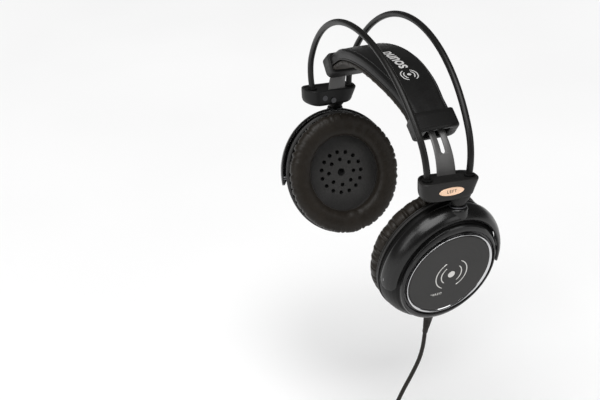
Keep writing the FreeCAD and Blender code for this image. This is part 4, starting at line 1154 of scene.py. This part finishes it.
def tube(path, radius, sides=12):
    """A round rod along points, with closed ends."""
    rings = []
    for i, at in enumerate(path):
        before, after = path[max(0, i - 1)], path[min(len(path) - 1, i + 1)]
        way = (after - before).normalized()
        across = Vector((0, 1, 0)) if abs(way.y) < 0.9 else Vector((1, 0, 0))
        first = way.cross(across).normalized()
        second = way.cross(first)
        size = radius * (0.55 if i in (0, len(path) - 1) else 1.0)
        rings.append([at + (first * math.cos(t) + second * math.sin(t)) * size
                      for t in (2 * math.pi * s / sides for s in range(sides))])
    return loft(rings)


def make_band_pad():
    """Soft lining: a crowned cushion with slack creases and side folds, piped along its upper edges."""
    rows, columns = 260, 72
    rings = []
    for i in range(rows + 1):
        angle = -BAND_END + 2 * BAND_END * i / rows
        swell = 1 - 0.55 * max(0.0, (abs(angle) - 24) / 10.6) ** 2
        ring = []
        for c in range(columns):
            turn = 2 * math.pi * c / columns
            cy, sz = math.cos(turn), math.sin(turn)
            power = 2 / 3.4
            y = (BAND_HALF - 0.35) * math.copysign(abs(cy) ** power, cy)
            drop = -10.3 + 2.75 * math.copysign(abs(sz) ** (2 / 2.6), sz)
            below = max(0.0, -sz)
            place = Vector((angle * 0.22, y * 0.16, 6.0 + sz))
            slack = noise.noise(place * Vector((2.2, 0.7, 0.8))) * 0.34
            side_fold = max(0.0, math.sin(angle * 0.95 + 3.0 * noise.noise(place * 0.7))) ** 3
            edge = abs(cy) ** 3 * (1 - abs(sz)) ** 0.5
            y += math.copysign((slack - 0.5 * side_fold) * edge, cy)
            drop -= below * (0.15 + slack * 0.7) * swell
            drop += below * (1 - swell) * 1.5
            ring.append(band_point(angle, drop, band_y(angle, y)))
        rings.append(ring)
    points, faces = loft(rings)
    made = piece("headband_lining", points, faces, "band_lining", "headband",
                 sharp=70,
                 replaces=["headband_pad"])
    for name, k in (("front", -1), ("rear", 1)):
        angles = [-34.0 + 68.0 * i / 120 for i in range(121)]
        path = [band_point(a, -7.55, band_y(a, k * (BAND_HALF - 0.55))) for a in angles]
        points, faces = tube(path, 0.55, 12)
        piece("band_piping_" + name, points, faces, "piping", "headband")


PRINT_ANGLE, PRINT_Y = 13.8, 2.4


def band_print(points):
    """Lay points (towards the crown, towards the front, rise) on the band's top at the print's place."""
    laid = []
    for s, t, rise in points:
        angle = PRINT_ANGLE - math.degrees(s / (BAND_R1 if s > -2 else BAND_R2))
        y = PRINT_Y - t
        crown = 0.18 - 0.23 * (abs(y - BAND_Y) / 14.0) ** 1.5
        laid.append(band_point(angle, crown - 0.24 + rise, y))
    return laid


def make_band_mark():
    """Generic silver print on the band: the sound mark and a plain word."""
    parts = []
    for radius, spread in ((5.9, 64.0), (3.8, 54.0)):
        for middle in (90.0, 270.0):
            points, faces = mark_arc(radius, middle, spread, 0.8, 0.10, 0.0)
            parts.append((band_print([(p.x, p.y, p.z) for p in points]), faces))
    points, faces = lathe([(0.0, 0.10), (1.3, 0.10), (1.45, 0.0), (0.0, 0.0)], Matrix.Identity(4), 32)
    parts.append((band_print([(p.x, p.y, p.z) for p in points]), faces))
    drawn, outlines = word_points("sound", 13.0, 1.0, 0.22)
    wide = max(x for x, y, rise in drawn)
    parts.append((band_print([(x + wide + 9.2, y + 0.4, rise) for x, y, rise in drawn]), outlines))
    points, faces = joined(*parts)
    piece("band_mark", points, faces, "print", "headband")


# ================= end caps =================

def cap_ring(angle, shrink, mouth=0.0):
    """Section of the end cap; mouth 0 is its outside, 1 its opening."""
    outside = (CAP_HALF - shrink, 1.5 - shrink, -BAND_THICK - 1.5 + shrink, 2.4, 4.6)
    opening = (9.2, -1.8, -10.6, 1.6, 2.0)
    half, top, bottom, soft_top, soft_bottom = (a + (b - a) * mouth for a, b in zip(outside, opening))
    ring = []
    for y_side, z_level, soft, first in ((1, top, soft_top, 90), (-1, top, soft_top, 180),
                                         (-1, bottom, soft_bottom, 270), (1, bottom, soft_bottom, 0)):
        centre_y = y_side * (half - soft)
        centre_z = z_level - soft if z_level == top else z_level + soft
        start = {90: 0, 180: 90, 270: 180, 0: 270}[first]
        for i in range(9):
            turn = math.radians(start + 90 * i / 8)
            ring.append(band_point(angle, centre_z + soft * math.sin(turn),
                                   BAND_Y + centre_y + soft * math.cos(turn)))
    return ring


def make_cap(side):
    """Moulded end cap: a small step at the band, softly rounded edges and a wide dark mouth for the strap."""
    stations = [(33.5, 1.3, 0), (33.5, 0.7, 0), (33.62, 0.25, 0), (33.9, 0.0, 0), (35.5, 0, 0),
                (37.5, 0, 0),
                (39.3, 0, 0), (40.3, 0.0, 0), (40.8, 0.25, 0), (41.1, 0.75, 0), (41.2, 1.5, 0),
                (41.15, 0, 0.82), (41.0, 0, 0.97), (40.6, 0, 1.0), (38.5, 0, 1.0), (36.0, 0, 0.97)]
    points, faces = loft([cap_ring(*station) for station in stations])
    k = SIDES[side]
    middle = band_point(37.3, -7.0)
    away = Vector((k * math.sin(math.radians(37.3)), 0, math.cos(math.radians(37.3))))
    for shell, keep, look, slot in (("outer", 1, "cap", "end_cap_plastic"),
                                    ("inner", -1, "cap_inner", "cap_inner_plastic")):
        made = piece("cap_shell_%s_%s" % (shell, side), points, faces, look, "headband", sharp=45,
                     mirror=side == "right", replaces=["end_cap_%s_%s" % (shell, side)])
        clipped(made.data, (k * middle.x, 0, middle.z), away * keep, 0.07)


# ================= carried-over CAD nodes =================

def finish_cad():
    for side in SIDES:
        repaint("baffle_" + side, "baffle")
        repaint("driver_basket_" + side, "basket")
        repaint("driver_magnet_" + side, "steel")
        repaint("diaphragm_" + side, "scrim")
        repaint("pivot_pins_" + side, "steel")
        repaint("housing_screws_" + side, "dark_steel")
        repaint("swivel_stem_" + side, "steel")
        repaint("stem_clip_" + side, "dark_steel")
    repaint("headband_core", "steel")
    repaint("cap_screws", "dark_steel")
    repaint("strap_stop_pins", "steel")
    repaint("retraction_elastics", "braid")
    repaint("block_inserts", "insert")
    softened("tube_grommets", "rubber", "frame", 0.4)
    repaint("block_screws", "dark_steel")
    softened("swivel_bushes", "dark_steel", "frame", 0.25)
    for name in ("front", "rear"):
        repaint("arch_sleeve_" + name, "sleeve")
        repaint("arch_wire_" + name, "steel")


LOOK = make_materials()
make_camera()
make_studio()
make_cord()
for name in SIDES:
    make_disc(name)
    make_trim(name)
    make_bevel(name)
    make_housing(name)
    make_mark(name)
    make_pad(name)
    make_yoke(name)
    make_block(name)
    make_badge(name)
    make_strap(name)
    make_cap(name)
make_cover()
make_band_pad()
make_band_mark()
finish_cad()
